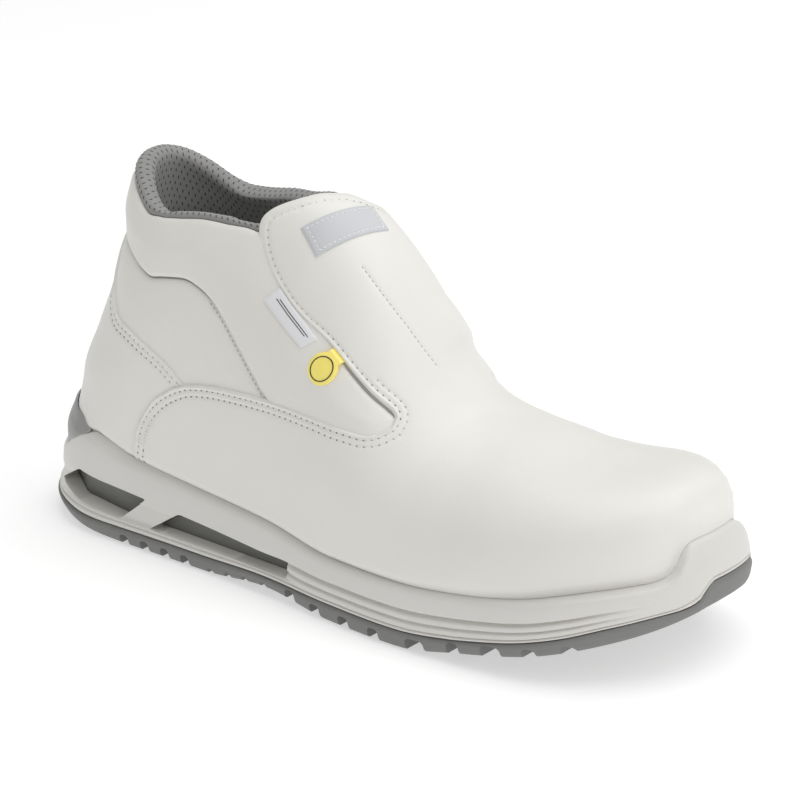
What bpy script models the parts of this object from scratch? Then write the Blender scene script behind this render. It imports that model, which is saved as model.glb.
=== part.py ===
"""White slip-on hygiene safety boot for the right foot, built as a boot maker puts it together.

Every table and size here is in millimetres. In the tables "along" runs from the back of the heel
to the tip of the toe, y runs across (lateral side negative, medial side positive) and z is up from
the floor. Meshes are written in metres, with the origin under the middle of the boot.
"""
import math

import bmesh
import bpy
import numpy as np
from mathutils import Matrix, Vector

# Driving sizes
MM = 0.001
LENGTH = 302.0          # outsole, heel to toe: EU size 42
GAP = 0.3               # clearance between pieces that touch
COLUMNS = 20            # sections from heel to toe on each side
LEVELS = 13             # rows of the upper from feather edge to collar
RIDGE_WEIGHT = 0.65     # how far the ridge, rather than the heel, sets where the rows lie
BEND_WEIGHT = 22.0      # a turn of one radian counts as this length of the ridge
WALL = 2.2              # upper
INSOLE = 4.5
THROUGH = 90.0          # half length of a cutter that goes right across the boot
PAST_TOE = 312.0        # a cutter's edge ahead of the boot
PAST_TOP = 170.0        # a cutter's edge above the boot


def table(columns, *rows):
    """A small table as a dictionary of named columns."""
    return dict(zip(columns.split(), np.array(rows, float).T))


# Half widths of the sole before its ends are rounded, and heights along it: tread, welt, cup floor, rim
SOLE = table(
    "along lateral medial ground welt floor rim",
    (0, 40, 38, 6, 9.5, 28.5, 32),
    (20, 41, 39, 3, 7.5, 28.5, 33),
    (36, 42, 39, 1, 6.8, 28.5, 40),
    (60, 42.5, 38.5, 0, 6.5, 28.5, 35.5),
    (95, 44, 37.5, 0, 6.5, 25, 32),
    (130, 47, 38.5, 3, 7.5, 22, 29),
    (165, 52, 43, 0, 7, 17.5, 24.5),
    (199, 55.5, 48.5, 0, 7, 17.5, 24.5),
    (225, 56, 52, 4, 9.5, 19.5, 26.5),
    (255, 55, 52, 9.5, 15, 23, 30),
    (284, 52, 50, 17.5, 22.5, 28, 35),
    (294, 50, 50, 21, 26, 28.5, 46),
    (302, 50, 50, 25, 40, 28.5, 54),
)
# The centre line bends to the medial side at the toe
AXIS = table("along y", (0, 0), (170, 0), (240, 3), (302, 8))
HEEL_ROUND, TOE_ROUND = 46.0, 60.0
HEEL_POWER, TOE_POWER = 2.1, 2.3

# Sagittal profile of the last: back of the heel, then the ridge from collar to toe
BACK = table(
    "z along cup",
    (20, 14, 40),
    (42, 13.5, 40),
    (60, 17.5, 42),
    (80, 25.5, 46),
    (100, 30, 50),
    (116, 30.5, 50),
    (133, 27, 44),
    (152, 20, 36),
)
RIDGE = table(
    "along z arch power",
    (90, 156, 95, 2.2),
    (120, 150, 85, 2.2),
    (134, 145, 80, 2.2),
    (146, 136.5, 76, 2.1),
    (158, 124.5, 72, 2.1),
    (171, 107, 66, 2.1),
    (185, 86.5, 56, 2.1),
    (199, 75, 50, 2.2),
    (215, 71, 46, 2.4),
    (240, 69.5, 43, 3.4),
    (302, 72, 24, 5.0),
)
# The collar line, carried on forwards so that the rows of the upper cross the ridge steeply
COLLAR = table(
    "along z",
    (0, 154),
    (22, 153),
    (36, 149),
    (50, 140),
    (70, 132.5),
    (98, 133),
    (114, 139),
    (126, 143.5),
    (140, 149),
    (170, 185),
    (302, 380),
)
UPPER_INSET = 5.0       # the upper stands this far inside the outsole's edge
TOE_INSET = 6.5
TOE_CAP = 79.0          # depth of the toe's rounding
CAP_POWER, CUP_POWER, WIDTH_POWER = 2.5, 2.3, 2.4
ANKLE = {"lateral": 35.5, "medial": 33.5}
ANKLE_START, ANKLE_END = 45.0, 130.0
INSIDE_LAST = 75.0      # a place along the boot that is inside the last at every height
PROBE = 0.05            # step for measuring which way the last's surface faces
HALVINGS = 40           # steps that close in on the end of a level line
TRIAL_LEVELS = 120      # level lines measured before the upper's rows are spread out

# Side of the sole: inset of its edge, forward pull of its back, share of the way up
OUTSOLE_SIDE = table("inset pull up", (3.4, 2, 0), (0.9, 0.5, 0.35), (0, 0, 0.75), (0.9, 0, 1))
MIDSOLE_SIDE = table(
    "inset pull up",
    (0.9, 0, 0),
    (0.4, 0.2, 0.06),
    (0.5, 0.4, 0.13),
    (1.7, 0.6, 0.16),
    (1.0, 0.8, 0.20),
    (1.0, 2.2, 0.42),
    (2.2, 2.6, 0.47),
    (1.5, 3.0, 0.53),
    (1.8, 5.0, 0.84),
    (1.9, 6.0, 0.92),
    (2.6, 6.4, 0.955),
)
RIM_CLEAR = 0.45        # upper to the inside of the sole's cup

# Tread: grooves across the outsole
TREAD = table(
    "along width depth",
    (55, 3.4, 3.6),
    (65, 3.4, 3.6),
    (76, 3.4, 3.6),
    (86, 3.4, 3.6),
    (102, 2.6, 1.8),
    (111, 2.6, 1.8),
    (120, 2.6, 1.8),
    (130, 2.6, 1.8),
    (144.5, 4.5, 3.6),
    (158, 4.5, 3.8),
    (173, 4.5, 3.8),
    (188, 4.5, 3.8),
    (207, 8, 3.8),
    (224, 4.5, 3.8),
    (240, 8, 3.8),
    (255, 4.5, 3.6),
    (268.5, 4.5, 3.2),
)
CHANNEL = {"start": 45.0, "stop": 272.0, "width": 7.0, "depth": 2.8, "stations": 14}
GROOVE_FLARE = 1.0      # a groove is wider by this at the floor

# Heel windows, seen from the side, right through the midsole
WINDOWS = {
    "rear": ((15.5, 14.5), (32.5, 25), (69, 22), (55, 10.5), (30, 12)),
    "front": ((70, 10), (86, 20.5), (142, 16.5), (142, 10.2)),
}
INSERT_INSET = 11.0     # the grey core lies this far behind the sole's edge

# Panels of the upper, seen from the side: (along, z)
COUNTER_EDGE = ((40, 117), (40.8, 109), (42.5, 98), (49, 89.5), (59, 86.4), (74.5, 80.2), (87, 72.5))
WING_BACK = ((61, 30), (61.5, 38), (64, 51), (71, 62), (80, 69), (88, 72.8))
WING_TOP = ((88, 72.8), (99, 75), (116, 76.3), (133, 76.8), (150, 76), (166, 74), (175, 73), (180.5, 75.5))
FLAP_EDGE = (
    (180.5, 75.5), (179.5, 80), (169, 88), (152, 101.5), (139, 109), (127, 118), (116, 128), (111.5, 136),
    (114, 143), (120, 148),
)
QUARTER_SEAM = (
    (38, 119.5), (45, 117), (53.5, 113.7), (60, 110.8), (66, 109.3), (72, 110.5), (82, 112), (88, 111),
    (95, 108), (103, 102), (114, 91), (123, 82), (129, 76.2),
)
SEAM_START, SEAM_START_Z = 42.5, 113.0      # the quarter's top back corner, beside the counter
SEAM_MEETS_WING, SEAM_END = 128.5, 78.2     # its top front corner, above the wing
WING_START = 88.5
SLIT_END, SLIT_END_Z = 177.0, 80.0          # the collar panel's tip, between wing and flap
SEAM_WIDTH = 1.4        # groove between collar panel and quarter
LAP = 0.8               # groove beside the edge of an overlapping panel
LIFT = {"counter": 2.0, "vamp": 2.3, "quarter": 1.5, "collar_panel": 1.7}

# Padded collar: its thickness down the inside of the wall, then the roll over the collar's edge
LINING_PAD = table("share pad", (0.60, 0.8), (0.68, 2.6), (0.80, 3.6), (1, 4))
LINING_ROLL = table(
    "depth rise", (2.5, 0), (0.6, 0), (0.2, 1.7), (1.4, 3.7), (3.2, 4.4), (5, 3.3), (6.1, 1.6),
)
ROLL_CLEAR = 0.4        # roll to the top of the upper's wall
ROLL_BACK, ROLL_SIDE, ROLL_FRONT = 0.6, 0.7, 0.5

# Small trim on the lateral side
PATCH = {"along": 138.0, "y": -6.0, "z": 136.0, "length": 32.0, "width": 12.5, "depth": 40.0, "turn": -16.0}
TAB = ((127, 116), (121.5, 111), (141, 97.5), (147, 101.5))
TAG = {"along": 151.5, "z": 92.5, "radius": 5.8, "neck": 2.4, "reach": 6.9, "turn": 51.5, "points": 28}
TRIM_BASE, TRIM_TOP = 2.1, 2.9
PATCH_BASE, PATCH_TOP = 2.6, 3.2
CLIP = {"along": 36.0, "z": 44.0, "long": 29.5, "wide": 40.5, "high": 15.0, "base": 2.4, "top": 9.0}
CLIP_AROUND, CLIP_RINGS = 28, 12


def read(source, column, at, key="along"):
    """A smooth curve through one column, which never overshoots its rows."""
    places, values = source[key], source[column]
    step = np.diff(places)
    rise = np.diff(values) / step
    slope = np.zeros(len(places))
    slope[0], slope[-1] = rise[0], rise[-1]
    for k in range(1, len(places) - 1):
        if rise[k - 1] * rise[k] > 0:
            slope[k] = 2 / (1 / rise[k - 1] + 1 / rise[k])
    at = np.clip(np.asarray(at, float), places[0], places[-1])
    k = np.clip(np.searchsorted(places, at, side="right") - 1, 0, len(places) - 2)
    t = (at - places[k]) / step[k]
    near = (1 + 2 * t) * (1 - t) ** 2 * values[k] + t * (1 - t) ** 2 * step[k] * slope[k]
    far = t * t * (3 - 2 * t) * values[k + 1] + t * t * (t - 1) * step[k] * slope[k + 1]
    return near + far


def heel_to_toe(start, stop):
    """Places along the boot, closer together at its round ends."""
    turn = np.pi * np.arange(COLUMNS + 1) / COLUMNS
    return start + (stop - start) * (1 - np.cos(turn)) / 2


def loop(along, lateral, medial, z):
    """One closed loop: down the lateral side to the toe and back up the medial side."""
    axis = read(AXIS, "y", along)
    out = np.stack([along, axis - lateral, z], -1)
    back = np.stack([along, axis + medial, z], -1)
    out[0, 1] = axis[0]
    out[-1, 1] = axis[-1]
    return np.concatenate([out, back[-2:0:-1]])


def sole_half(along, side, inset, pull):
    """Half width of the sole on one side, with its rounded heel and toe."""
    width = read(SOLE, side, along) - inset
    toe = np.clip((along - LENGTH + TOE_ROUND) / (TOE_ROUND - inset), 0, 1)
    heel = np.clip((HEEL_ROUND + pull - along) / (HEEL_ROUND - inset), 0, 1)
    round_toe = (1 - toe**TOE_POWER) ** (1 / TOE_POWER)
    round_heel = (1 - heel**HEEL_POWER) ** (1 / HEEL_POWER)
    return width * round_toe * round_heel


def sole_loop(inset, pull, low, high, up):
    """A line round the sole's side, a share of the way up from one height to another."""
    along = heel_to_toe(inset + pull, LENGTH - inset)
    bottom = low(along)
    z = bottom + (high(along) - bottom) * up
    return loop(along, sole_half(along, "lateral", inset, pull), sole_half(along, "medial", inset, pull), z)


def ground(along):
    return read(SOLE, "ground", along)


def welt(along):
    return read(SOLE, "welt", along)


def rim(along):
    return read(SOLE, "rim", along)


def cup_floor(along):
    return read(SOLE, "floor", along)


def fullness(along, z):
    """What is left of the last's width here: 1 on its flat sides, 0 where heel, toe or ridge close it."""
    toe = np.clip((along - LENGTH + TOE_INSET + TOE_CAP) / TOE_CAP, 0, None)
    arch = read(RIDGE, "arch", along)
    top = np.clip((z - read(RIDGE, "z", along) + arch) / arch, 0, None)
    cup = read(BACK, "cup", z, "z")
    heel = np.clip((read(BACK, "along", z, "z") + cup - along) / cup, 0, None)
    return 1 - toe**CAP_POWER - top ** read(RIDGE, "power", along) - heel**CUP_POWER


def last_width(along, z, side):
    """Half width of the last on its flat sides: foot width low down, ankle width at the collar."""
    foot = read(SOLE, side, along) - UPPER_INSET
    up = np.clip((z - ANKLE_START) / (ANKLE_END - ANKLE_START), 0, 1)
    return foot + (ANKLE[side] - foot) * up * up * (3 - 2 * up)


def last_half(along, z, side):
    """Half width of the last, with its heel, toe and ridge rounded."""
    return last_width(along, z, side) * np.clip(fullness(along, z), 0, None) ** (1 / WIDTH_POWER)


def beyond(along, y, z):
    """Below 0 inside the last, 0 on its surface and above 0 outside it."""
    across = y - read(AXIS, "y", along)
    width = np.where(across < 0, last_width(along, z, "lateral"), last_width(along, z, "medial"))
    return (np.abs(across) / width) ** WIDTH_POWER - fullness(along, z)


def last_end(level, outside):
    """Where a level line leaves the last, on the way to a place outside it."""
    inside = INSIDE_LAST
    for _ in range(HALVINGS):
        middle = (inside + outside) / 2
        if fullness(middle, level(middle)) > 0:
            inside = middle
        else:
            outside = middle
    return inside


def last_loop(level):
    """The last's outline along a level line."""
    along = heel_to_toe(last_end(level, 0.0), last_end(level, LENGTH))
    z = level(along)
    return loop(along, last_half(along, z, "lateral"), last_half(along, z, "medial"), z)


def wall_level(share):
    """A level line of the upper: 0 runs just above the sole's rim, 1 along the collar."""
    def level(along):
        low = rim(along) + GAP
        return low + (read(COLLAR, "z", along) - low) * share
    return level


def level_shares():
    """Shares for the upper's rows, spread over the ridge and the heel together, closer where they bend."""
    shares = np.linspace(0, 1, TRIAL_LEVELS)
    spread = np.zeros(len(shares))
    for outside, weight in ((LENGTH, RIDGE_WEIGHT), (0.0, 1 - RIDGE_WEIGHT)):
        ends = [(last_end(wall_level(s), outside), s) for s in shares]
        points = np.array([(along, wall_level(s)(along)) for along, s in ends])
        across, up = np.diff(points, axis=0).T
        bend = np.abs(np.gradient(np.unwrap(np.arctan2(up, across))))
        run = np.r_[0, np.cumsum(np.hypot(across, up) + BEND_WEIGHT * bend)]
        spread += weight * run / run[-1]
    return np.interp(np.linspace(0, 1, LEVELS), spread, shares)


def outward(rows):
    """Unit normals of the last; the first row's are level, to follow the sole's rim."""
    normal = np.zeros_like(rows)
    for axis in range(3):
        step = np.zeros(3)
        step[axis] = PROBE
        ahead, behind = np.moveaxis(rows + step, -1, 0), np.moveaxis(rows - step, -1, 0)
        normal[..., axis] = beyond(*ahead) - beyond(*behind)
    normal[0, :, 2] = 0
    return normal / np.linalg.norm(normal, axis=2, keepdims=True)


def level_lifted(outline, lift):
    """A loop moved outwards in plan."""
    around = np.roll(outline, -1, 0) - np.roll(outline, 1, 0)
    normal = np.stack([around[:, 1], -around[:, 0], np.zeros(len(outline))], -1)
    return outline + lift * normal / np.linalg.norm(normal, axis=1, keepdims=True)


def material(name, colour, roughness):
    made = bpy.data.materials.new(name)
    made.use_nodes = True
    shader = made.node_tree.nodes["Principled BSDF"]
    shader.inputs["Base Color"].default_value = (*colour, 1)
    shader.inputs["Roughness"].default_value = roughness
    shader.inputs["Metallic"].default_value = 0
    return made


def add_object(name, mesh, finish):
    made = bpy.data.objects.new(name, mesh)
    bpy.context.scene.collection.objects.link(made)
    if finish is None:
        made.hide_render = True
        made.display_type = "WIRE"
    else:
        mesh.materials.append(finish)
        made.parent = boot
    return made


def mesh_object(name, points, faces, finish=None):
    """A closed mesh from points in millimetres; with no finish it is a hidden cutter."""
    mesh = bpy.data.meshes.new(name)
    world = (np.asarray(points, float).reshape(-1, 3) - (LENGTH / 2, 0, 0)) * MM
    mesh.from_pydata(world.tolist(), [], faces)
    work = bmesh.new()
    work.from_mesh(mesh)
    bmesh.ops.recalc_face_normals(work, faces=work.faces)
    work.to_mesh(mesh)
    work.free()
    return add_object(name, mesh, finish)


def bands(rows, columns, closed=False):
    """Triangles between neighbouring loops; closed joins the last loop to the first.

    Each square is split from its first corner, so that two surfaces which run the same way stay parallel.
    """
    faces = []
    for row in range(rows if closed else rows - 1):
        low, high = row * columns, (row + 1) % rows * columns
        for column in range(columns):
            after = (column + 1) % columns
            faces.append((low + column, low + after, high + after))
            faces.append((low + column, high + after, high + column))
    return faces


def cap(first):
    """Faces that close a loop straight across the boot, lateral side to medial side."""
    around = 2 * COLUMNS
    faces = [(first, first + 1, first + around - 1)]
    for column in range(1, COLUMNS - 1):
        far = first + around - column
        faces.append((first + column, first + column + 1, far - 1, far))
    faces.append((first + COLUMNS - 1, first + COLUMNS, first + COLUMNS + 1))
    return faces


def lofted(name, loops, finish):
    """A solid through a stack of loops, closed at both ends."""
    faces = bands(len(loops), 2 * COLUMNS) + cap(0) + cap((len(loops) - 1) * 2 * COLUMNS)
    return mesh_object(name, loops, faces, finish)


def ring(name, loops, finish):
    """A ring-shaped solid through loops that run round its section."""
    return mesh_object(name, loops, bands(len(loops), 2 * COLUMNS, closed=True), finish)


def shell(name, low, high, finish):
    """The part of the wall between two lifts above the upper's own surface."""
    inner = upper_rows + low * upper_normals
    outer = upper_rows + high * upper_normals
    return ring(name, np.concatenate([inner, outer[::-1]]), finish)


def prism(name, outline, near=-THROUGH, far=THROUGH):
    """A hidden cutter: an outline in side view, run across the boot."""
    count = len(outline)
    points = [(along, y, z) for y in (near, far) for along, z in outline]
    faces = [tuple(range(count)), tuple(range(count, 2 * count))]
    for k in range(count):
        after = (k + 1) % count
        faces.append((k, after, count + after, count + k))
    return mesh_object(name, points, faces)


def combine(target, cutter, operation):
    cut = target.modifiers.new(cutter.name, "BOOLEAN")
    cut.operation = operation
    cut.object = cutter
    cut.solver = "EXACT"


def smooth_run(points, pieces=3):
    """Points on a Catmull-Rom curve through the given points."""
    p = np.array(points, float)
    p = np.vstack([2 * p[0] - p[1], p, 2 * p[-1] - p[-2]])
    run = []
    for k in range(1, len(p) - 2):
        for t in np.arange(pieces) / pieces:
            bend = 2 * p[k - 1] - 5 * p[k] + 4 * p[k + 1] - p[k + 2]
            twist = 3 * p[k] - p[k - 1] - 3 * p[k + 1] + p[k + 2]
            run.append(p[k] + 0.5 * t * (p[k + 1] - p[k - 1] + t * (bend + t * twist)))
    return np.array(run + [p[-2]])


def beside(run, distance):
    """A run moved sideways, to the left of its direction when the distance is positive."""
    step = np.gradient(run, axis=0)
    left = np.stack([-step[:, 1], step[:, 0]], -1)
    return run + distance * left / np.linalg.norm(left, axis=1, keepdims=True)


def panel(name, lift, outline, finish, near=-THROUGH, far=THROUGH, base=GAP):
    """A panel of the upper: the wall above its surface, cut to an outline in side view."""
    made = shell(name, base, lift, finish)
    combine(made, prism(name + "_cutter", outline, near, far), "INTERSECT")
    return made


def make_outsole(finish):
    loops = []
    for inset, pull, up in zip(OUTSOLE_SIDE["inset"], OUTSOLE_SIDE["pull"], OUTSOLE_SIDE["up"]):
        loops.append(sole_loop(inset, pull, ground, welt, up))
    outsole = lofted("outsole", loops, finish)
    points, faces = [], []
    for along, width, depth in zip(TREAD["along"], TREAD["width"], TREAD["depth"]):
        top, low = ground(along) + depth, ground(along) - depth
        section = (
            (along - width / 2, top), (along + width / 2, top),
            (along + width / 2 + GROOVE_FLARE, low), (along - width / 2 - GROOVE_FLARE, low),
        )
        first = len(points)
        points += [(a, y, z) for y in (-THROUGH, THROUGH) for a, z in section]
        faces += [(first, first + 1, first + 2, first + 3), (first + 4, first + 5, first + 6, first + 7)]
        for k in range(4):
            after = (k + 1) % 4
            faces.append((first + k, first + after, first + 4 + after, first + 4 + k))
    combine(outsole, mesh_object("tread_grooves", points, faces), "DIFFERENCE")
    combine(outsole, channel_cutter(), "DIFFERENCE")


def channel_cutter():
    """The groove that runs down the middle of the tread, parting its bars into lugs."""
    along = np.linspace(CHANNEL["start"], CHANNEL["stop"], CHANNEL["stations"])
    axis, floor = read(AXIS, "y", along), ground(along)
    half, depth = CHANNEL["width"] / 2, CHANNEL["depth"]
    corners = ((-half, depth), (half, depth), (half + GROOVE_FLARE, -depth), (-half - GROOVE_FLARE, -depth))
    points = [(a, y + side, z + up) for a, y, z in zip(along, axis, floor) for side, up in corners]
    faces = bands(len(along), 4) + [(0, 1, 2, 3), tuple(range(len(points) - 4, len(points)))]
    return mesh_object("tread_channel", points, faces)


def make_midsole(finish):
    inner_rim = level_lifted(last_loop(rim), RIM_CLEAR)
    inner_floor = level_lifted(last_loop(cup_floor), RIM_CLEAR)
    rim_height = inner_rim[: COLUMNS + 1, 2]
    loops = []
    for inset, pull, up in zip(MIDSOLE_SIDE["inset"], MIDSOLE_SIDE["pull"], MIDSOLE_SIDE["up"]):
        loops.append(sole_loop(inset, pull, lambda along: welt(along) + GAP, lambda along: rim_height, up))
    midsole = lofted("midsole", loops + [inner_rim, inner_floor], finish)
    for name, outline in WINDOWS.items():
        combine(midsole, prism("window_" + name, outline), "DIFFERENCE")


def make_insert(name, outline, finish):
    """The grey core in one heel window: the window's outline, short of the sole's edge on both sides."""
    centre = np.mean(outline, axis=0)
    corners = np.array(outline, float)
    corners += GAP * 2 * (centre - corners) / np.linalg.norm(centre - corners, axis=1, keepdims=True)
    along, z = corners.T
    lateral = -sole_half(along, "lateral", INSERT_INSET, 0)
    medial = sole_half(along, "medial", INSERT_INSET, 0)
    count = len(along)
    points = [*zip(along, lateral, z), *zip(along, medial, z)]
    faces = [tuple(range(count)), tuple(range(count, 2 * count))]
    for k in range(count):
        after = (k + 1) % count
        faces.append((k, after, count + after, count + k))
    mesh_object(name, points, faces, finish)


def make_upper(finish):
    """The hollow lasted body, from the cup's floor to the collar."""
    foot = last_loop(lambda along: cup_floor(along) + GAP)
    rows = np.concatenate([foot[None], upper_rows])
    inner = rows - WALL * outward(rows)
    inner[0, :, 2] = rows[0, :, 2]
    ring("upper", np.concatenate([rows, inner[::-1]]), finish)


def make_insole(finish):
    loops = []
    for height in (GAP, GAP + INSOLE):
        outline = last_loop(lambda along: cup_floor(along) + height)
        loops.append(level_lifted(outline, -WALL - 2 * GAP))
    lofted("insole", loops, finish)


def make_lining(finish):
    """The padded collar: it lies against the inside of the wall and rolls over its edge."""
    turn = np.abs(np.arange(2 * COLUMNS) / COLUMNS - 1)
    back = np.clip(2 * turn - 1, 0, 1)
    front = np.clip(1 - 2 * turn, 0, 1)
    roll = ROLL_SIDE + (ROLL_BACK - ROLL_SIDE) * back**2 + (ROLL_FRONT - ROLL_SIDE) * front**2
    padded = np.flatnonzero(upper_shares >= LINING_PAD["share"][0])
    inward = -upper_normals
    depth = WALL + GAP
    loops = [upper_rows[row] + depth * inward[row] for row in padded]
    for depth_over, rise in zip(LINING_ROLL["depth"], LINING_ROLL["rise"]):
        edge = upper_rows[-1] + depth_over * inward[-1]
        edge[:, 2] += ROLL_CLEAR + rise * roll
        loops.append(edge)
    for row in padded[::-1]:
        pad = read(LINING_PAD, "pad", upper_shares[row], "share")
        loops.append(upper_rows[row] + (depth + pad) * inward[row])
    ring("collar_lining", loops[::-1], finish)


def make_panels(finishes):
    counter_edge = smooth_run(COUNTER_EDGE)
    wing_back, wing_top = smooth_run(WING_BACK), smooth_run(WING_TOP)
    flap_edge, seam = smooth_run(FLAP_EDGE), smooth_run(QUARTER_SEAM)
    wing_foot, flap_top = WING_BACK[0][0], FLAP_EDGE[-1][0]
    vamp = [
        *wing_back, *wing_top[1:], *flap_edge[1:],
        (flap_top, PAST_TOP), (PAST_TOE, PAST_TOP), (PAST_TOE, 0), (wing_foot, 0),
    ]
    panel("vamp", LIFT["vamp"], vamp, finishes["upper"])
    behind_wing = beside(wing_back, LAP)[::-1]
    counter = [(0, COUNTER_EDGE[0][1]), *counter_edge, *behind_wing[1:], (wing_foot - LAP, 0), (0, 0)]
    panel("counter", LIFT["counter"], counter, finishes["upper"])
    above_wing = beside(wing_top, LAP)
    ahead_of_counter = beside(counter_edge, LAP)
    low_seam = beside(seam, -SEAM_WIDTH / 2)
    high_seam = beside(seam, SEAM_WIDTH / 2)
    quarter = [
        *low_seam[(low_seam[:, 0] > SEAM_START) & (low_seam[:, 1] > SEAM_END)],
        *above_wing[(above_wing[:, 0] > WING_START) & (above_wing[:, 0] < SEAM_MEETS_WING - LAP)][::-1],
        *ahead_of_counter[ahead_of_counter[:, 1] < SEAM_START_Z][::-1],
    ]
    panel("quarter_lateral", LIFT["quarter"], quarter, finishes["quarter"], -THROUGH, 0)
    panel("quarter_medial", LIFT["quarter"], quarter, finishes["quarter"], 0, THROUGH)
    beside_flap = beside(flap_edge, LAP)
    collar = [
        (0, QUARTER_SEAM[0][1]),
        *high_seam[high_seam[:, 1] > SEAM_END],
        *above_wing[(above_wing[:, 0] > SEAM_MEETS_WING + LAP) & (above_wing[:, 0] < SLIT_END)],
        *beside_flap[beside_flap[:, 1] > SLIT_END_Z],
        (beside_flap[-1, 0], PAST_TOP),
        (0, PAST_TOP),
    ]
    panel("collar_panel", LIFT["collar_panel"], collar, finishes["quarter"])


def make_patch(finish):
    """The label patch: a rectangle cut square to the instep, from the wall over the vamp."""
    centre = np.array([PATCH["along"], PATCH["y"], PATCH["z"]])
    nearest = np.linalg.norm(upper_rows - centre, axis=2)
    row, column = np.unravel_index(nearest.argmin(), nearest.shape)
    up = Vector(upper_normals[row, column])
    up.y = 0
    turn = up.to_track_quat("Z", "Y").to_matrix() @ Matrix.Rotation(math.radians(PATCH["turn"]), 3, "Z")
    half = (PATCH["length"] / 2, PATCH["width"] / 2, PATCH["depth"] / 2)
    signs = ((-1, -1), (1, -1), (1, 1), (-1, 1))
    points = []
    for end in (-1, 1):
        for a, b in signs:
            corner = turn @ Vector((a * half[0], b * half[1], end * half[2]))
            points.append(centre + np.array(corner))
    faces = [(0, 1, 2, 3), (4, 5, 6, 7)] + [(k, (k + 1) % 4, 4 + (k + 1) % 4, 4 + k) for k in range(4)]
    made = shell("label_patch", PATCH_BASE, PATCH_TOP, finish)
    combine(made, mesh_object("label_patch_cutter", points, faces), "INTERSECT")


def make_tag(finish):
    """The round tag with the neck that is sewn under the flap."""
    neck_turn = math.radians(TAG["turn"])
    half_neck = math.asin(TAG["neck"] / TAG["radius"])
    outline = []
    for angle in np.linspace(neck_turn + half_neck, neck_turn - half_neck + 2 * math.pi, TAG["points"]):
        reach = TAG["radius"] * Vector((math.cos(angle), math.sin(angle)))
        outline.append((TAG["along"] + reach.x, TAG["z"] + reach.y))
    for side in (-1, 1):
        reach = Vector((TAG["reach"], side * TAG["neck"]))
        reach.rotate(Matrix.Rotation(neck_turn, 2))
        outline.append((TAG["along"] + reach.x, TAG["z"] + reach.y))
    panel("round_tag", TRIM_TOP, outline, finish, -THROUGH, 0, TRIM_BASE)


def make_clip(finish):
    """The grey heel clip: a crescent that bulges from the back of the counter."""
    made = shell("heel_clip", CLIP["base"], CLIP["top"], finish)
    mesh = bpy.data.meshes.new("heel_clip_cutter")
    work = bmesh.new()
    bmesh.ops.create_uvsphere(work, u_segments=CLIP_AROUND, v_segments=CLIP_RINGS, radius=1)
    scale = Matrix.Diagonal((CLIP["long"] * MM, CLIP["wide"] * MM, CLIP["high"] * MM, 1))
    place = Matrix.Translation(((CLIP["along"] - LENGTH / 2) * MM, 0, CLIP["z"] * MM))
    bmesh.ops.transform(work, matrix=place @ scale, verts=work.verts)
    work.to_mesh(mesh)
    work.free()
    combine(made, add_object("heel_clip_cutter", mesh, None), "INTERSECT")


for old in list(bpy.data.objects):
    bpy.data.objects.remove(old, do_unlink=True)
boot = bpy.data.objects.new("boot", None)
bpy.context.scene.collection.objects.link(boot)

upper_shares = level_shares()
upper_rows = np.array([last_loop(wall_level(share)) for share in upper_shares])
upper_normals = outward(upper_rows)

finishes = {
    "outsole": material("grey_rubber", (0.30, 0.30, 0.30), 0.6),
    "midsole": material("white_foam", (0.80, 0.79, 0.76), 0.55),
    "insert": material("dark_grey_foam", (0.15, 0.155, 0.145), 0.6),
    "clip": material("grey_plastic", (0.32, 0.33, 0.33), 0.45),
    "insole": material("grey_footbed", (0.25, 0.25, 0.26), 0.9),
    "body": material("white_body", (0.82, 0.81, 0.78), 0.6),
    "upper": material("white_microfibre", (0.85, 0.84, 0.81), 0.5),
    "quarter": material("white_soft_microfibre", (0.85, 0.84, 0.80), 0.5),
    "lining": material("grey_mesh", (0.28, 0.28, 0.29), 0.9),
    "patch": material("pale_grey_patch", (0.55, 0.56, 0.60), 0.6),
    "tab": material("white_ribbon", (0.85, 0.85, 0.88), 0.7),
    "tag": material("yellow_plastic", (0.83, 0.68, 0.10), 0.4),
}

make_outsole(finishes["outsole"])
make_midsole(finishes["midsole"])
for window, shape in WINDOWS.items():
    make_insert("heel_insert_" + window, shape, finishes["insert"])
make_upper(finishes["body"])
make_insole(finishes["insole"])
make_panels(finishes)
make_lining(finishes["lining"])
make_clip(finishes["clip"])
make_patch(finishes["patch"])
panel("side_tab", TRIM_TOP, TAB, finishes["tab"], -THROUGH, 0, TRIM_BASE)
make_tag(finishes["tag"])
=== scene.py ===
# %% [markdown]
# # A white hygiene boot
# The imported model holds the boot's plain solids: a hollow body, thin panels on it, a cup sole and a tread.
# This lesson keeps them as a fixed frame and dresses each one with a finished piece of the same size and place.
# Nothing here is read from another file: the few sizes of the last are repeated below, in millimetres.

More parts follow.
